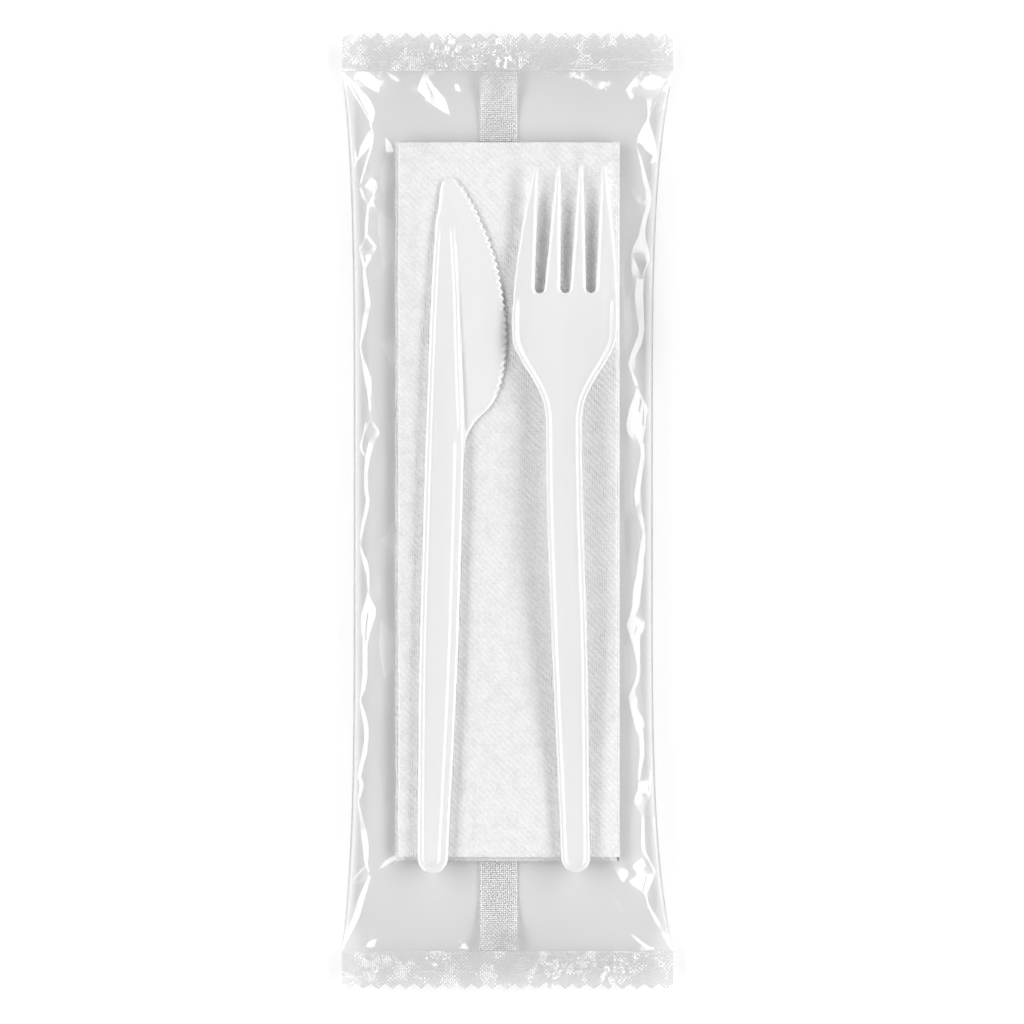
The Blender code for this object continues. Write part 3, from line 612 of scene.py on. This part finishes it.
def makeFork(f):
    loop, neck = forkOutline(f)
    loop = resampled(loop, 0.0003)

    def liftAt(t):
        along = t / f["length"]
        arch = ((0.0, 0.0), (0.1, 0.05), (0.35, 0.7), (0.56, 1.0), (0.68, 0.72), (0.8, 0.0))
        tines = through(((0.8, 0.0), (0.9, 0.4), (1.0, 1.0)), along)
        return f["arch"] * through(arch, along) + f["tineRise"] * tines

    def dishAt(points):
        head = (points[:, 1] - neck) / f["head"]
        dish = f["dish"] * smooth(0.0, 0.35, head) * (1 - 0.7 * smooth(0.5, 1.0, head))
        across = (points[:, 0] - forkMiddle(f, points[:, 1])) / (f["headWidth"] / 2)
        return dish * across ** 2

    def topAt(points, gap):
        head = (points[:, 1] - neck) / f["head"]
        share = smooth(0.42, 0.52, head)
        rim = profile(f["rim"], gap) * (1 - share) + profile(f["edge"], gap) * share
        return rim + liftAt(points[:, 1]) + dishAt(points)

    def bottomAt(points, gap):
        return 0.0002 * (1 - smooth(0.0, 0.0006, gap)) + liftAt(points[:, 1]) + dishAt(points)

    rings = [g / 1000 for g in (0.06, 0.3, 0.42, 0.6, 0.8, 1.05, 1.3, 1.7, 2.2, 2.8)]
    item = moulding("fork_moulded", loop, rings, [], f["step"], topAt, bottomAt,
                    f["butt"], f["lean"], plasticMaterial("fork_plastic", f))
    item.data.transform(Matrix.Translation((0, 0, f["base"])))
    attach(item, "root")
    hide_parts("fork")


print("knife and fork")
makeKnife(knife)
makeFork(fork)
print("napkin")
makeNapkin(napkin)

# Film wrap. leftSide and rightSide give the height of the taut film, in millimetres, by
# millimetres in from its side edge. A lean is a slope seen along X.
wrap = dict(length=0.2276, sealSpan=0.0788, waist=0.0712, shift=-0.0010, sealDepth=0.0091,
            sealHeight=0.0030, teeth=23, toothDepth=0.0013, plain=0.0027, endTaper=0.034,
            backTaper=0.014, flare=0.100, side=0.0034, rollFrom=0.00035, finLeft=-0.0066,
            finRight=0.0023, back=0.0004, film=0.00005, ridges=4.5, ridgeRise=0.0002,
            pressRise=0.0005, pressWidth=0.00022, crumple=0.0004, clumpRise=0.0006,
            fineCrumple=0.0001, fineClump=0.0005, fineStep=0.0012, coarseStep=0.0028,
            sideZone=0.0105, endZone=0.026, foldStep=0.0007, foldGap=0.00045, lineGap=0.0005,
            zoneGap=0.0007, lip=0.0001, backInset=0.003, finDrop=0.00025, gloss=0.08, tint=0.99,
            leans=dict(bright=0.47, dark=0.1, soft=0), pulls=dict(bright=14, dark=10, soft=6),
            leftSide=((0.35, 4.9), (4.5, 5.5), (8.85, 6.75), (14, 8.0), (20, 9.0),
                      (28, 10.0), (35.6, 10.2), (40, 10.2)),
            rightSide=((0.35, 5.1), (3, 5.7), (8.85, 7.55), (16, 9.65), (22, 10.1),
                       (35.6, 10.2), (40, 10.2)))

# Folds of the front film, in drawing units: an outline of (x, y) corners, or a strip that
# follows (x, y, width) places. Bright ones lean to the light, dark ones lie nearly flat
brightFolds = (
    ((357, 72), (366, 71), (374, 76), (379, 85), (380, 93), (374, 91), (366, 86), (359, 79)),
    ((344, 73), (352, 80), (362, 90), (369, 98), (373, 105), (375, 112), (374, 120), (371, 124), (364, 112),
     (352, 92), (346, 79)),
    ((371, 126, 1.5), (373, 136, 2), (371, 148, 2), (366, 164, 2), (360, 185, 2)),
    ((370, 130), (372, 140), (368, 149), (362, 155), (357, 162), (360, 148), (365, 138)),
    ((355, 150, 1), (356, 160, 2), (355, 166, 1)), ((385, 137), (391, 144), (394, 152), (386, 152)),
    ((360, 186), (366, 184), (371, 178), (376, 181), (377, 185), (372, 188), (366, 188)),
    ((360, 187, 2), (363, 196, 3), (368, 204, 2), (367, 218, 3), (366, 232, 3)),
    ((377, 186, 1.5), (373, 196, 1.5), (369, 204, 1.5)),
    ((366, 232), (369, 236), (377, 247), (371, 258), (364, 272), (360, 256), (359, 249), (363, 240)),
    ((364, 270, 3), (365, 280, 4), (367, 295, 5), (368, 305, 5), (365, 320, 5), (363, 332, 4),
     (360, 346, 1)),
    ((360, 345, 1), (362, 357, 2), (365, 368, 5), (368, 380, 7), (369, 388, 5), (371, 396, 1)),
    ((368, 390, 2), (370, 405, 2.5), (370.5, 418, 3), (373, 424, 3), (379, 432, 2)),
    ((379, 432, 3), (372, 441, 6), (368, 455, 5), (366, 470, 4), (366, 490, 4), (368, 500, 3.5),
     (366, 512, 4), (363, 525, 3.5), (360, 545, 1)),
    ((370, 421, 2), (364, 432, 2), (361, 445, 2), (362, 451, 2), (366, 458, 2)),
    ((366, 423, 1.5), (363, 435, 1.5)),
    ((360, 545, 1), (363, 556, 3.5), (366, 565, 5), (368, 575, 3), (368.5, 590, 2)),
    ((368, 590), (371, 600), (376, 608), (375, 618), (371, 630), (368, 642), (363, 642), (361, 630),
     (361, 615), (364, 606)),
    ((365, 641, 5), (365, 660, 5), (365, 675, 5), (363, 690, 4), (360, 700, 1)),
    ((360, 700, 1), (363, 712, 4), (366, 725, 5), (366.5, 740, 4), (364, 755, 5), (361, 768, 3.5),
     (359, 780, 3)),
    ((360, 778, 3), (362, 785, 4), (360, 795, 3), (358, 800, 1)),
    ((358, 800, 1), (360, 812, 2.5), (362, 822, 4), (364, 835, 6), (366, 848, 6), (366, 862, 3),
     (369, 872, 1.5)),
    ((370, 876, 2), (362, 880, 3), (353, 884, 2)), ((366, 866, 1), (358, 874, 2), (352, 882, 2)),
    ((370, 876, 2), (366, 886, 4), (361, 900, 6), (357, 915, 6), (351, 928, 5), (345, 943, 2)),
    ((378, 870), (385, 861), (395, 855), (396, 859), (388, 864)),
    ((366, 947), (368, 942), (377, 939), (374, 947)),
    ((424, 71), (434, 86), (445, 98), (450, 114), (452, 117), (432, 105), (417, 90)),
    ((454, 84), (459, 85), (461, 92), (456, 91)), ((387, 72), (394, 76), (401, 81), (398, 82), (391, 78)),
    ((459, 948), (464, 943), (472, 950)),
    ((645, 77), (652, 75), (660, 77), (664, 82), (660, 90), (654, 98), (650, 108), (648, 117), (647, 101),
     (643, 96), (634, 96), (633, 93), (640, 84)),
    ((672, 74, 2), (660, 91, 1.8), (652, 108, 1.6), (648, 118, 1.5)),
    ((661, 101, 1), (664, 106, 2), (656, 112, 1.5)),
    ((648, 118), (652, 130), (656, 145), (657, 163), (652, 155), (646, 150), (640, 143), (637, 143),
     (638, 136), (643, 126)),
    ((638, 144, 3), (641, 158, 4), (644, 170, 5), (646, 182, 6), (650, 196, 3)),
    ((631, 191), (634, 188), (640, 196), (648, 192), (650, 198), (646, 206), (640, 203), (634, 198)),
    ((650, 197, 3), (648, 208, 4), (645, 218, 5), (643, 228, 5)),
    ((644, 222), (646, 240), (649, 252), (650, 260), (645, 270), (644, 280), (636, 280), (633, 265),
     (631, 255), (634, 245), (639, 235), (641, 225)),
    ((640, 279, 7), (639, 295, 8), (640, 310, 8), (641, 322, 6), (642, 330, 5), (638, 345, 6),
     (633, 355, 5), (629, 365, 1.5)),
    ((629, 365, 1.5), (633, 375, 3), (637, 386, 4)),
    ((637, 386), (641, 395), (646, 404), (648, 410), (646, 418), (645, 430), (643, 440), (640, 445),
     (636, 436), (634, 432), (632, 438), (628, 434), (626, 425), (629, 410), (634, 397)),
    ((642, 443, 4), (643, 455, 4), (641, 468, 4.5), (639, 480, 5), (637, 495, 6), (639, 510, 5),
     (642, 522, 4), (644, 533, 2.5)),
    ((644, 533, 2.5), (643, 545, 5), (641, 560, 6), (640, 575, 6.5), (637, 590, 8), (636, 605, 7),
     (632, 617, 4), (627, 625, 1.5)),
    ((627, 625), (633, 621), (637, 621), (642, 624), (645, 620), (644, 630), (640, 636), (640, 655),
     (640, 668), (638, 672), (635, 655), (633, 645), (630, 636)),
    ((639, 671, 3), (637, 682, 3.5), (632, 692, 2.5), (629, 698, 1.5)),
    ((629, 697), (637, 697), (638, 702), (633, 701)),
    ((629, 699), (635, 706), (643, 718), (645, 726), (640, 732), (636, 731), (634, 722), (631, 710)),
    ((641, 731, 4), (642, 745, 5), (642, 757, 4.5), (640, 768, 3), (639, 780, 2)),
    ((638, 782), (645, 781), (650, 779), (648, 788), (650, 797), (645, 806), (643, 815), (640, 812),
     (634, 803), (635, 797), (638, 790)),
    ((643, 814, 3), (643, 830, 3.5), (643, 845, 3.5), (645, 854, 3), (650, 862, 2), (655, 872, 2)),
    ((629, 881), (637, 876), (648, 874), (656, 872), (653, 880), (648, 892), (645, 895), (639, 889),
     (632, 885)),
    ((646, 894, 2), (648, 905, 2), (655, 918, 3.5), (662, 930, 3.5), (668, 942, 3), (671, 949, 2)),
    ((612, 865), (616, 866), (628, 871), (628, 876), (623, 883), (617, 874)),
    ((631, 934, 1), (640, 942, 3), (648, 948, 4), (653, 949, 2)),
    ((651, 822, 1), (654, 820, 2), (655, 830, 1)), ((651, 772, 2), (650, 785, 1.2), (650, 795, 1)),
    ((573, 71.5), (585, 71.5), (584, 79), (575, 78)), ((549, 73, 1), (557, 77, 2.5), (566, 76, 1.5)),
    ((585, 72), (592, 80), (607, 82), (602, 90), (590, 85)),
)
darkFolds = (
    ((367, 239), (374, 247), (367, 252), (362, 247)), ((364, 253, 2), (365, 262, 1.5)),
    ((347, 77, 1), (357, 95, 1.5), (368, 115, 1)), ((637, 145, 3), (645, 151, 3), (652, 158, 1)),
    ((637, 146), (643, 150), (651, 157), (651, 170), (649, 186), (645, 170), (641, 157)),
    ((635, 260), (648, 261), (645, 268), (642, 277), (638, 268)), ((641, 399, 2), (639, 412, 2)),
    ((644, 408, 1), (643, 425, 1.6)), ((640, 793), (648, 795), (644, 798)),
    ((668, 80, 1), (654, 102, 1.6), (650, 112, 1)), ((634, 634, 1), (637, 626, 1.5)),
    ((646, 878, 1), (643, 891, 1.5)), ((368, 612, 1), (366, 628, 1.5), (366, 640, 1)),
    ((641, 200, 2), (646, 198, 1.5)), ((576, 74, 1), (581, 76, 1.5)), ((426, 82, 1), (433, 96, 1.5)),
)
# Faint facets: extra lean, then the outline
softFolds = (
    (0.085, ((385, 156), (381, 168), (380, 184), (383, 193), (392, 188), (394, 172), (388, 158))),
    (-0.147, ((373, 200), (382, 196), (394, 190), (394, 216), (386, 212), (376, 208))),
    (0.085, ((378, 214), (394, 220), (394, 262), (384, 270), (380, 250), (378, 232))),
    (-0.147, ((381, 312), (395, 304), (395, 340), (385, 336), (376, 344), (370, 340))),
    (0.085, ((381, 343), (395, 336), (395, 368), (389, 362))),
    (-0.147, ((372, 360), (395, 385), (395, 420), (382, 430), (375, 405))),
    (-0.147, ((395, 497), (380, 512), (372, 533), (382, 532), (395, 520))),
    (0.085, ((380, 540), (395, 527), (395, 557))),
    (-0.122, ((378, 560), (394, 575), (394, 600), (382, 600))),
    (0.085, ((380, 620), (394, 632), (394, 670), (384, 678), (379, 650))),
    (-0.122, ((372, 722), (394, 742), (394, 790), (384, 800), (378, 760))),
    (0.17, ((409, 120), (418, 106), (425, 101), (435, 120), (432, 130), (420, 130))),
    (0.17, ((464, 101), (478, 101), (478, 137), (459, 138), (444, 130))),
    (0.17, ((519, 96), (535, 99), (551, 113), (552, 119), (530, 117), (519, 111))),
    (0.17, ((544, 130), (559, 121), (592, 111), (623, 97), (636, 104), (604, 120), (568, 136))),
    (0.17, ((590, 88), (612, 92), (630, 78), (638, 74), (622, 94), (600, 101))),
    (0.17, ((612, 894), (622, 906), (634, 922), (640, 936), (628, 924), (618, 908))),
    (0.17, ((590, 905), (606, 916), (622, 930), (612, 930), (598, 918))),
    (-0.078, ((540, 880), (580, 890), (606, 900), (586, 902), (556, 892))),
    (0.17, ((400, 880), (430, 892), (446, 920), (424, 912), (404, 896))),
    (0.17, ((378, 905), (400, 890), (420, 900), (396, 930), (376, 928))),
    (-0.094, ((625, 262), (631, 262), (633, 282), (627, 300), (624, 280))),
    (0.05, ((624, 300), (630, 298), (632, 330), (626, 350), (624, 330))),
    (0.05, ((624, 470), (634, 478), (632, 505), (625, 520))),
    (-0.078, ((624, 520), (636, 512), (638, 545), (626, 560))),
    (0.05, ((624, 645), (632, 650), (634, 680), (625, 690))),
    (0.05, ((629, 822), (635, 824), (636, 838), (630, 836))),
    (0.17, ((632, 866), (642, 858), (646, 866), (638, 874))),
    (0.05, ((622, 208), (631, 212), (640, 217), (630, 216))),
)


def ribbon(path):
    # Outline of a strip that follows (x, y, width) places
    middle = np.array(at([place[:2] for place in path]))
    ahead = np.gradient(middle, axis=0)
    ahead /= np.linalg.norm(ahead, axis=1)[:, None]
    across = np.column_stack([-ahead[:, 1], ahead[:, 0]]) * np.array([place[2] for place in path])[:, None]
    return np.vstack([middle + across * unit / 2, (middle - across * unit / 2)[::-1]])


def fromSeal(w, y):
    return w["length"] / 2 - w["sealDepth"] - np.abs(y)


def spreadAt(w, y):
    return np.clip(1 - np.maximum(0, fromSeal(w, y)) / w["flare"], 0, 1) ** 4.2


def halfAt(w, y):
    return w["waist"] / 2 + (w["sealSpan"] - w["waist"]) / 2 * spreadAt(w, y)


def middleAt(w, y):
    return w["shift"] * (1 - spreadAt(w, y))


def openAt(w, y):
    return np.clip(fromSeal(w, y) / w["backTaper"], 0, 1)


def backAt(w, y):
    # The back panel rises to the seals at both ends
    return w["back"] + (w["sealHeight"] - w["back"]) * (1 - openAt(w, y)) ** 2


def frontAt(w, x, y):
    # The taut front film before its folds
    inset = (halfAt(w, y) - np.abs(x - middleAt(w, y))) * 1000
    share = np.clip(fromSeal(w, y) / w["endTaper"], 0, 1)
    full = np.where(x < middleAt(w, y), through(w["leftSide"], inset), through(w["rightSide"], inset)) / 1000
    low = w["sealHeight"] + w["lip"]
    return low + (full - low) * (1 - (1 - share) ** 1.9)


def solveHeights(flat, triangles, slopes, weights, fixed, start):
    # Least squares: the surface whose triangles lean as nearly as they can as asked
    a, b, c = (flat[triangles[:, i]] for i in range(3))
    twice = (b[:, 0] - a[:, 0]) * (c[:, 1] - a[:, 1]) - (b[:, 1] - a[:, 1]) * (c[:, 0] - a[:, 0])
    gx = np.stack([b[:, 1] - c[:, 1], c[:, 1] - a[:, 1], a[:, 1] - b[:, 1]], 1) / twice[:, None]
    gy = np.stack([c[:, 0] - b[:, 0], a[:, 0] - c[:, 0], b[:, 0] - a[:, 0]], 1) / twice[:, None]
    pull = weights * np.abs(twice) / 2
    count = len(flat)
    free = ~fixed

    def applied(h):
        sx = (gx * h[triangles]).sum(1) * pull
        sy = (gy * h[triangles]).sum(1) * pull
        part = gx * sx[:, None] + gy * sy[:, None]
        return np.bincount(triangles.ravel(), part.ravel(), count)

    aim = gx * (slopes[:, 0] * pull)[:, None] + gy * (slopes[:, 1] * pull)[:, None]
    aim = np.bincount(triangles.ravel(), aim.ravel(), count)
    scale = np.bincount(triangles.ravel(), ((gx ** 2 + gy ** 2) * pull[:, None]).ravel(), count) + 1e-30
    h = start.copy()
    left = (aim - applied(h)) * free
    step = left / scale
    drive = step.copy()
    size = left @ step
    for _ in range(500):
        moved = applied(drive) * free
        share = size / (drive @ moved)
        h += share * drive
        left -= share * moved
        step = left / scale
        newSize = left @ step
        if newSize < 1e-12 * abs(size) or newSize < 1e-22:
            break
        drive = step + newSize / size * drive
        size = newSize
    return h


def frontFilm(w):
    # The folded front of the wrap, between the seals and the rolled sides
    sealLine = w["length"] / 2 - w["sealDepth"]
    ys = np.linspace(-sealLine, sealLine, 260)
    reach = halfAt(w, ys) - w["rollFrom"]
    right = np.column_stack([middleAt(w, ys) + reach, ys])
    left = np.column_stack([middleAt(w, ys) - reach, ys])
    xs = np.linspace(-reach[0], reach[0], 100)[1:-1]
    low = np.column_stack([xs, np.full(len(xs), -sealLine)])
    high = np.column_stack([xs, np.full(len(xs), sealLine)])
    border = np.vstack([left[:1], low, right, high[::-1], left[::-1][:-1]])
    rings, turns, extras, pulls = [], [], [], []
    shapes = [("soft", extra, fold) for extra, fold in softFolds]
    shapes += [("bright", 0, fold) for fold in brightFolds] + [("dark", 0, fold) for fold in darkFolds]
    for kind, extra, fold in shapes:
        ring = resampled(ribbon(fold) if len(fold[0]) == 3 else at(fold), w["foldStep"])
        ring = ring[within(ring, border)]
        if len(ring) < 3:
            continue
        x, y = ring.T
        if np.sum(x * np.roll(y, -1) - y * np.roll(x, -1)) < 0:
            ring = ring[::-1]
        side = 1 if x.mean() < 0 else -1
        rings.append(ring)
        turns.append(side * w["leans"][kind])
        extras.append(side * extra)
        pulls.append(w["pulls"][kind])
    lines = np.vstack(rings)
    margin = lattice((-0.04, -sealLine), (0.04, sealLine), w["fineStep"])
    inset = halfAt(w, margin[:, 1]) - np.abs(margin[:, 0] - middleAt(w, margin[:, 1]))
    edgeZone = (inset < w["sideZone"]) | (fromSeal(w, margin[:, 1]) < w["endZone"])
    offLine = (inset > w["rollFrom"] + w["lineGap"]) & (fromSeal(w, margin[:, 1]) > w["lineGap"])
    margin = margin[edgeZone & offLine]
    far = np.array([np.min(((lines - p) ** 2).sum(1)) > w["foldGap"] ** 2 for p in margin])
    margin = margin[far]
    centreEnd = sealLine - w["endZone"]
    centre = lattice((-0.03, -centreEnd), (0.03, centreEnd), w["coarseStep"])
    inset = halfAt(w, centre[:, 1]) - np.abs(centre[:, 0] - middleAt(w, centre[:, 1]))
    centre = centre[inset > w["sideZone"] + w["zoneGap"]]
    points = [border] + rings + [margin, centre]
    faces, first = [], 0
    for ring in [border] + rings:
        faces.append(list(range(first, first + len(ring))))
        first += len(ring)
    points = np.vstack(points)
    made = delaunay_2d_cdt([tuple(p) for p in points], [], faces, 1, 1e-7)
    flat = np.array([tuple(v) for v in made[0]])
    triangles = np.array([tuple(f) for f in made[2]])
    owners = np.array([max(o) if o else 0 for o in made[5]])
    base = frontAt(w, flat[:, 0], flat[:, 1])
    a, b, c = (flat[triangles[:, i]] for i in range(3))
    ha, hb, hc = (base[triangles[:, i]] for i in range(3))
    twice = (b[:, 0] - a[:, 0]) * (c[:, 1] - a[:, 1]) - (b[:, 1] - a[:, 1]) * (c[:, 0] - a[:, 0])
    sx = ((hb - ha) * (c[:, 1] - a[:, 1]) - (hc - ha) * (b[:, 1] - a[:, 1])) / twice
    sy = ((hc - ha) * (b[:, 0] - a[:, 0]) - (hb - ha) * (c[:, 0] - a[:, 0])) / twice
    slopes = np.column_stack([sx, sy])
    turn = np.array([0] + turns)[owners]
    folded = turn != 0
    middle = (a + b + c) / 3
    sway = np.array([noise.noise((x * 260, y * 260, 0.4)) for x, y in middle])
    held = np.clip(1 - fromSeal(w, middle[:, 1]) / 0.005, 0, 1)
    slopes[folded, 0] = (turn * (1 + 0.3 * sway + 0.6 * held))[folded]
    slopes[folded, 1] *= 0.2
    slopes[:, 0] += np.array([0] + extras)[owners]
    weights = np.array([1.0] + pulls)[owners]
    onBorder = distanceTo(flat, border) < 1e-6
    h = solveHeights(flat, triangles, slopes, weights, onBorder, base)
    print("front film", len(flat), "points", len(triangles), "triangles")
    edges = {}
    for index, t in enumerate(triangles):
        for i, j in ((t[0], t[1]), (t[1], t[2]), (t[2], t[0])):
            edges.setdefault((min(i, j), max(i, j)), []).append(index)
    creases = [e for e, ts in edges.items() if len(ts) == 2 and owners[ts[0]] != owners[ts[1]]]
    verts = np.column_stack([flat, h])
    sides = []
    for line in (left, right):
        sides.append(np.column_stack([line, np.interp(line[:, 1], ys, frontAt(w, line[:, 0], line[:, 1]))]))
    return verts, triangles, creases, sides


def rolledSides(w, sides):
    # From the front film round the side of the pack and on to the back panel
    verts, faces = [], []
    for sign, line in zip((-1, 1), sides):
        ys = line[:, 1]
        half = halfAt(w, ys)
        middle = middleAt(w, ys)
        height = w["sealHeight"] + (w["side"] - w["sealHeight"]) * openAt(w, ys)
        back = backAt(w, ys)
        roll = np.array([noise.noise((sign * 3.1, float(y) * 260, 0.7)) for y in ys])
        columns = [(w["rollFrom"], line[:, 2])]
        for share in (0.75, 0.5, 0.3, 0.15, 0.05):
            rise = (line[:, 2] - height) * share ** (0.5 + 0.12 * roll)
            columns.append((w["rollFrom"] * share, height + rise))
        columns.append((0.0, height))
        for inset, share in ((0.04, 0.80), (0.12, 0.55), (0.28, 0.28), (0.5, 0.09), (0.8, 0.01)):
            columns.append((inset / 1000, back + (height - back) * share))
        columns.append((w["backInset"], back))
        first = len(verts)
        for inset, z in columns:
            x = middle + sign * (half - inset)
            verts += list(zip(x, ys, z))
        faces += [quad[::sign] for quad in gridFaces(len(columns), len(ys), first)]
    return verts, faces


def backPanel(w):
    ys = np.linspace(-w["length"] / 2 + w["sealDepth"], w["length"] / 2 - w["sealDepth"], 90)
    z = backAt(w, ys)
    shares = np.linspace(-1, 1, 25)
    verts = []
    for s in shares:
        x = middleAt(w, ys) + s * (halfAt(w, ys) - w["backInset"])
        verts += list(zip(x, ys, z))
    return verts, gridFaces(len(shares), len(ys))


def backSeam(w):
    # The knurled fin, folded flat against the back panel
    ys = np.linspace(-w["length"] / 2 + w["sealDepth"], w["length"] / 2 - w["sealDepth"], 120)
    z = backAt(w, ys)
    verts = []
    xs = np.linspace(w["finLeft"], w["finRight"], 8)
    for x in xs:
        verts += [(x, y, zz - w["finDrop"]) for y, zz in zip(ys, z)]
    return verts, gridFaces(len(xs), len(ys))


def sealStrip(w, end, seed):
    # Front and back film pressed together in ridges and cut off in teeth
    columns = np.linspace(-w["sealSpan"] / 2, w["sealSpan"] / 2, 331)
    down = np.linspace(0, 1, 41)
    start = w["length"] / 2 - w["sealDepth"]
    pitch = w["sealSpan"] / w["teeth"]
    phase = (columns + w["sealSpan"] / 2) / pitch
    cut = w["length"] / 2 - w["toothDepth"] * np.abs(2 * (phase - np.floor(phase)) - 1)
    crimped = w["sealDepth"] - w["plain"]
    verts, faces = [], []
    for drop in (w["film"], -w["film"]):
        first = len(verts)
        for x, far in zip(columns, cut):
            for v in down:
                y = start + v * (far - start)
                along = y - start
                ridge = math.sin(2 * math.pi * along / (crimped / w["ridges"]))
                patch = noise.noise((x * 130, y * 260, seed))
                patch += 0.5 * noise.noise((x * 420, y * 500, seed + 3))
                strength = min(1.0, max(0.0, 0.5 + 1.6 * patch))
                z = w["ridgeRise"] * ridge * strength * (along < crimped)
                press = max(0.0, noise.noise((x * 90, 5.0, seed + 20)) + 0.15)
                for place in (0.0003, crimped):
                    z += w["pressRise"] * press * math.exp(-((along - place) / w["pressWidth"]) ** 2)
                clump = smooth(0.05, 0.3, noise.noise((x * 80, y * 60, seed + 30)))
                broad = w["crumple"] + w["clumpRise"] * clump
                z += broad * noise.noise((x * 260, y * 300, seed + 7)) * min(1.0, along / 0.0015)
                fine = w["fineCrumple"] + w["fineClump"] * clump
                z += fine * noise.noise((x * 520, y * 480, seed + 11)) * min(1.0, along / 0.001)
                verts.append((x, end * y, w["sealHeight"] + drop + z))
        faces += [(i, l, k, j)[::end] for i, j, k, l in gridFaces(len(columns), len(down), first)]
    return verts, faces


def makeKnurl():
    # Height of small pressed pyramids in crossing diagonal rows, deep in some places and
    # faint in others, and a mask of the grooves between them, for painted shade in them
    group, into, out = newGroup("knurl", [("Pitch", "NodeSocketFloat", 0.0007),
                                          ("Low", "NodeSocketFloat", 0.5), ("High", "NodeSocketFloat", 1.5)],
                                [("Height", "NodeSocketFloat"), ("Mask", "NodeSocketFloat")])
    coords = add(group, "TexCoord")
    spots = add(group, "SeparateXYZ", {0: coords.outputs["Object"]})
    rows = []
    for operation in ("ADD", "SUBTRACT"):
        line = maths(group, operation, spots.outputs[0], spots.outputs[1])
        turns = maths(group, "DIVIDE", line, into.outputs["Pitch"])
        rows.append(maths(group, "PINGPONG", turns, 0.5))
    patches = add(group, "TexNoise", {"Vector": coords.outputs["Object"], "Scale": 210.0, "Detail": 3.0})
    force = add(group, "MapRange", {0: patches.outputs[0], 1: 0.4, 2: 0.68, 3: into.outputs["Low"],
                                    4: into.outputs["High"]}, interpolation_type="SMOOTHSTEP")
    total = maths(group, "MULTIPLY", maths(group, "ADD", rows[0], rows[1]), into.outputs["Pitch"])
    group.links.new(maths(group, "MULTIPLY", total, force.outputs[0]), out.inputs["Height"])
    nearest = maths(group, "MINIMUM", rows[0], rows[1])
    group.links.new(ramp(group, nearest, 0.2, 0.03), out.inputs["Mask"])
    return group


knurlGroup = makeKnurl()


def filmMaterial(name, look):
    # Thin clear film: a mirror whose strength grows towards grazing view, over nothing
    material, tree, out = newMaterial(name)
    normal = {}
    clearTint = look["tint"]
    if "knurl" in look:
        press = add(tree, "Group", {"Pitch": look["knurl"], "Low": look["low"],
                                    "High": look["high"]}, node_tree=knurlGroup)
        bump = add(tree, "Bump", {"Strength": 1.0, "Distance": 1.0, "Height": press.outputs["Height"]})
        normal = {"Normal": bump.outputs[0]}
        # Painted shade: less light passes the clear part in the knurl's grooves
        clearTint = maths(tree, "SUBTRACT", look["tint"], maths(tree, "MULTIPLY", press.outputs["Mask"],
                                                                look["grooveShade"]))
    facing = add(tree, "LayerWeight", {"Blend": 0.5, **normal})
    grazing = maths(tree, "POWER", facing.outputs["Facing"], 5.0)
    share = maths(tree, "MULTIPLY_ADD", grazing, 0.6)
    share.node.inputs[2].default_value = look["gloss"]
    steep = ramp(tree, facing.outputs["Facing"], 0.4, 0.95, 1.0, look["edge"])
    clear = add(tree, "BsdfTransparent", {"Color": maths(tree, "MULTIPLY", clearTint, steep)})
    mirror = add(tree, "BsdfPrincipled", {"Base Color": (1, 1, 1, 1), "Metallic": 1.0,
                                          "Roughness": look["rough"], **normal})
    mixed = add(tree, "MixShader", {0: share, 1: clear.outputs[0], 2: mirror.outputs[0]})
    last = mixed
    if "haze" in look:
        # Painted shade: the milky part is darker in the knurl's grooves
        shade = ramp(tree, press.outputs["Mask"], 0.0, 1.0, look["milk"], look["hollowShade"])
        milky = add(tree, "BsdfPrincipled", {"Base Color": shade, "Roughness": 0.6, **normal})
        last = add(tree, "MixShader", {0: look["haze"], 1: mixed.outputs[0], 2: milky.outputs[0]})
    tree.links.new(last.outputs[0], out.inputs[0])
    return material


def makeWrap(w):
    verts, faces, marks = [], [], []
    frontVerts, triangles, creases, sides = frontFilm(w)
    parts = [(frontVerts, [tuple(t) for t in triangles], 0)]
    parts.append((*rolledSides(w, sides), 0))
    parts.append((*backPanel(w), 0))
    parts.append((*backSeam(w), 2))
    parts.append((*sealStrip(w, 1, 2.0), 1))
    parts.append((*sealStrip(w, -1, 9.0), 1))
    for partVerts, partFaces, mark in parts:
        first = len(verts)
        verts += [tuple(v) for v in partVerts]
        faces += [tuple(int(i) + first for i in f) for f in partFaces]
        marks += [mark] * len(partFaces)
    film = dict(gloss=w["gloss"], tint=w["tint"], edge=0.6, rough=0.05)
    # Both knurled films paint shade into their grooves, through the clear and the milky part
    pressed = dict(film, knurl=0.00095, low=0.02, high=0.24, grooveShade=0.05, haze=0.2, milk=0.92, hollowShade=0.45)
    seam = dict(film, gloss=0.25, tint=1.0, rough=0.15, knurl=0.00098, low=0.22, high=0.28, grooveShade=0.04,
                haze=0.35, milk=1.0, hollowShade=0.7)
    materials = [filmMaterial("clear_film", film), filmMaterial("crimped_film", pressed),
                 filmMaterial("seam_film", seam)]
    item = makeMesh("film_wrap_clear", verts, faces, materials, marks)
    sharp = item.data.attributes.new("sharp_edge", "BOOLEAN", "EDGE")
    wanted = set(creases)
    flags = [tuple(sorted(e.vertices)) in wanted for e in item.data.edges]
    sharp.data.foreach_set("value", flags)
    print("wrap", len(item.data.polygons), "faces")
    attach(item, "root")
    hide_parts("film_wrap")


print("wrap")
makeWrap(wrap)
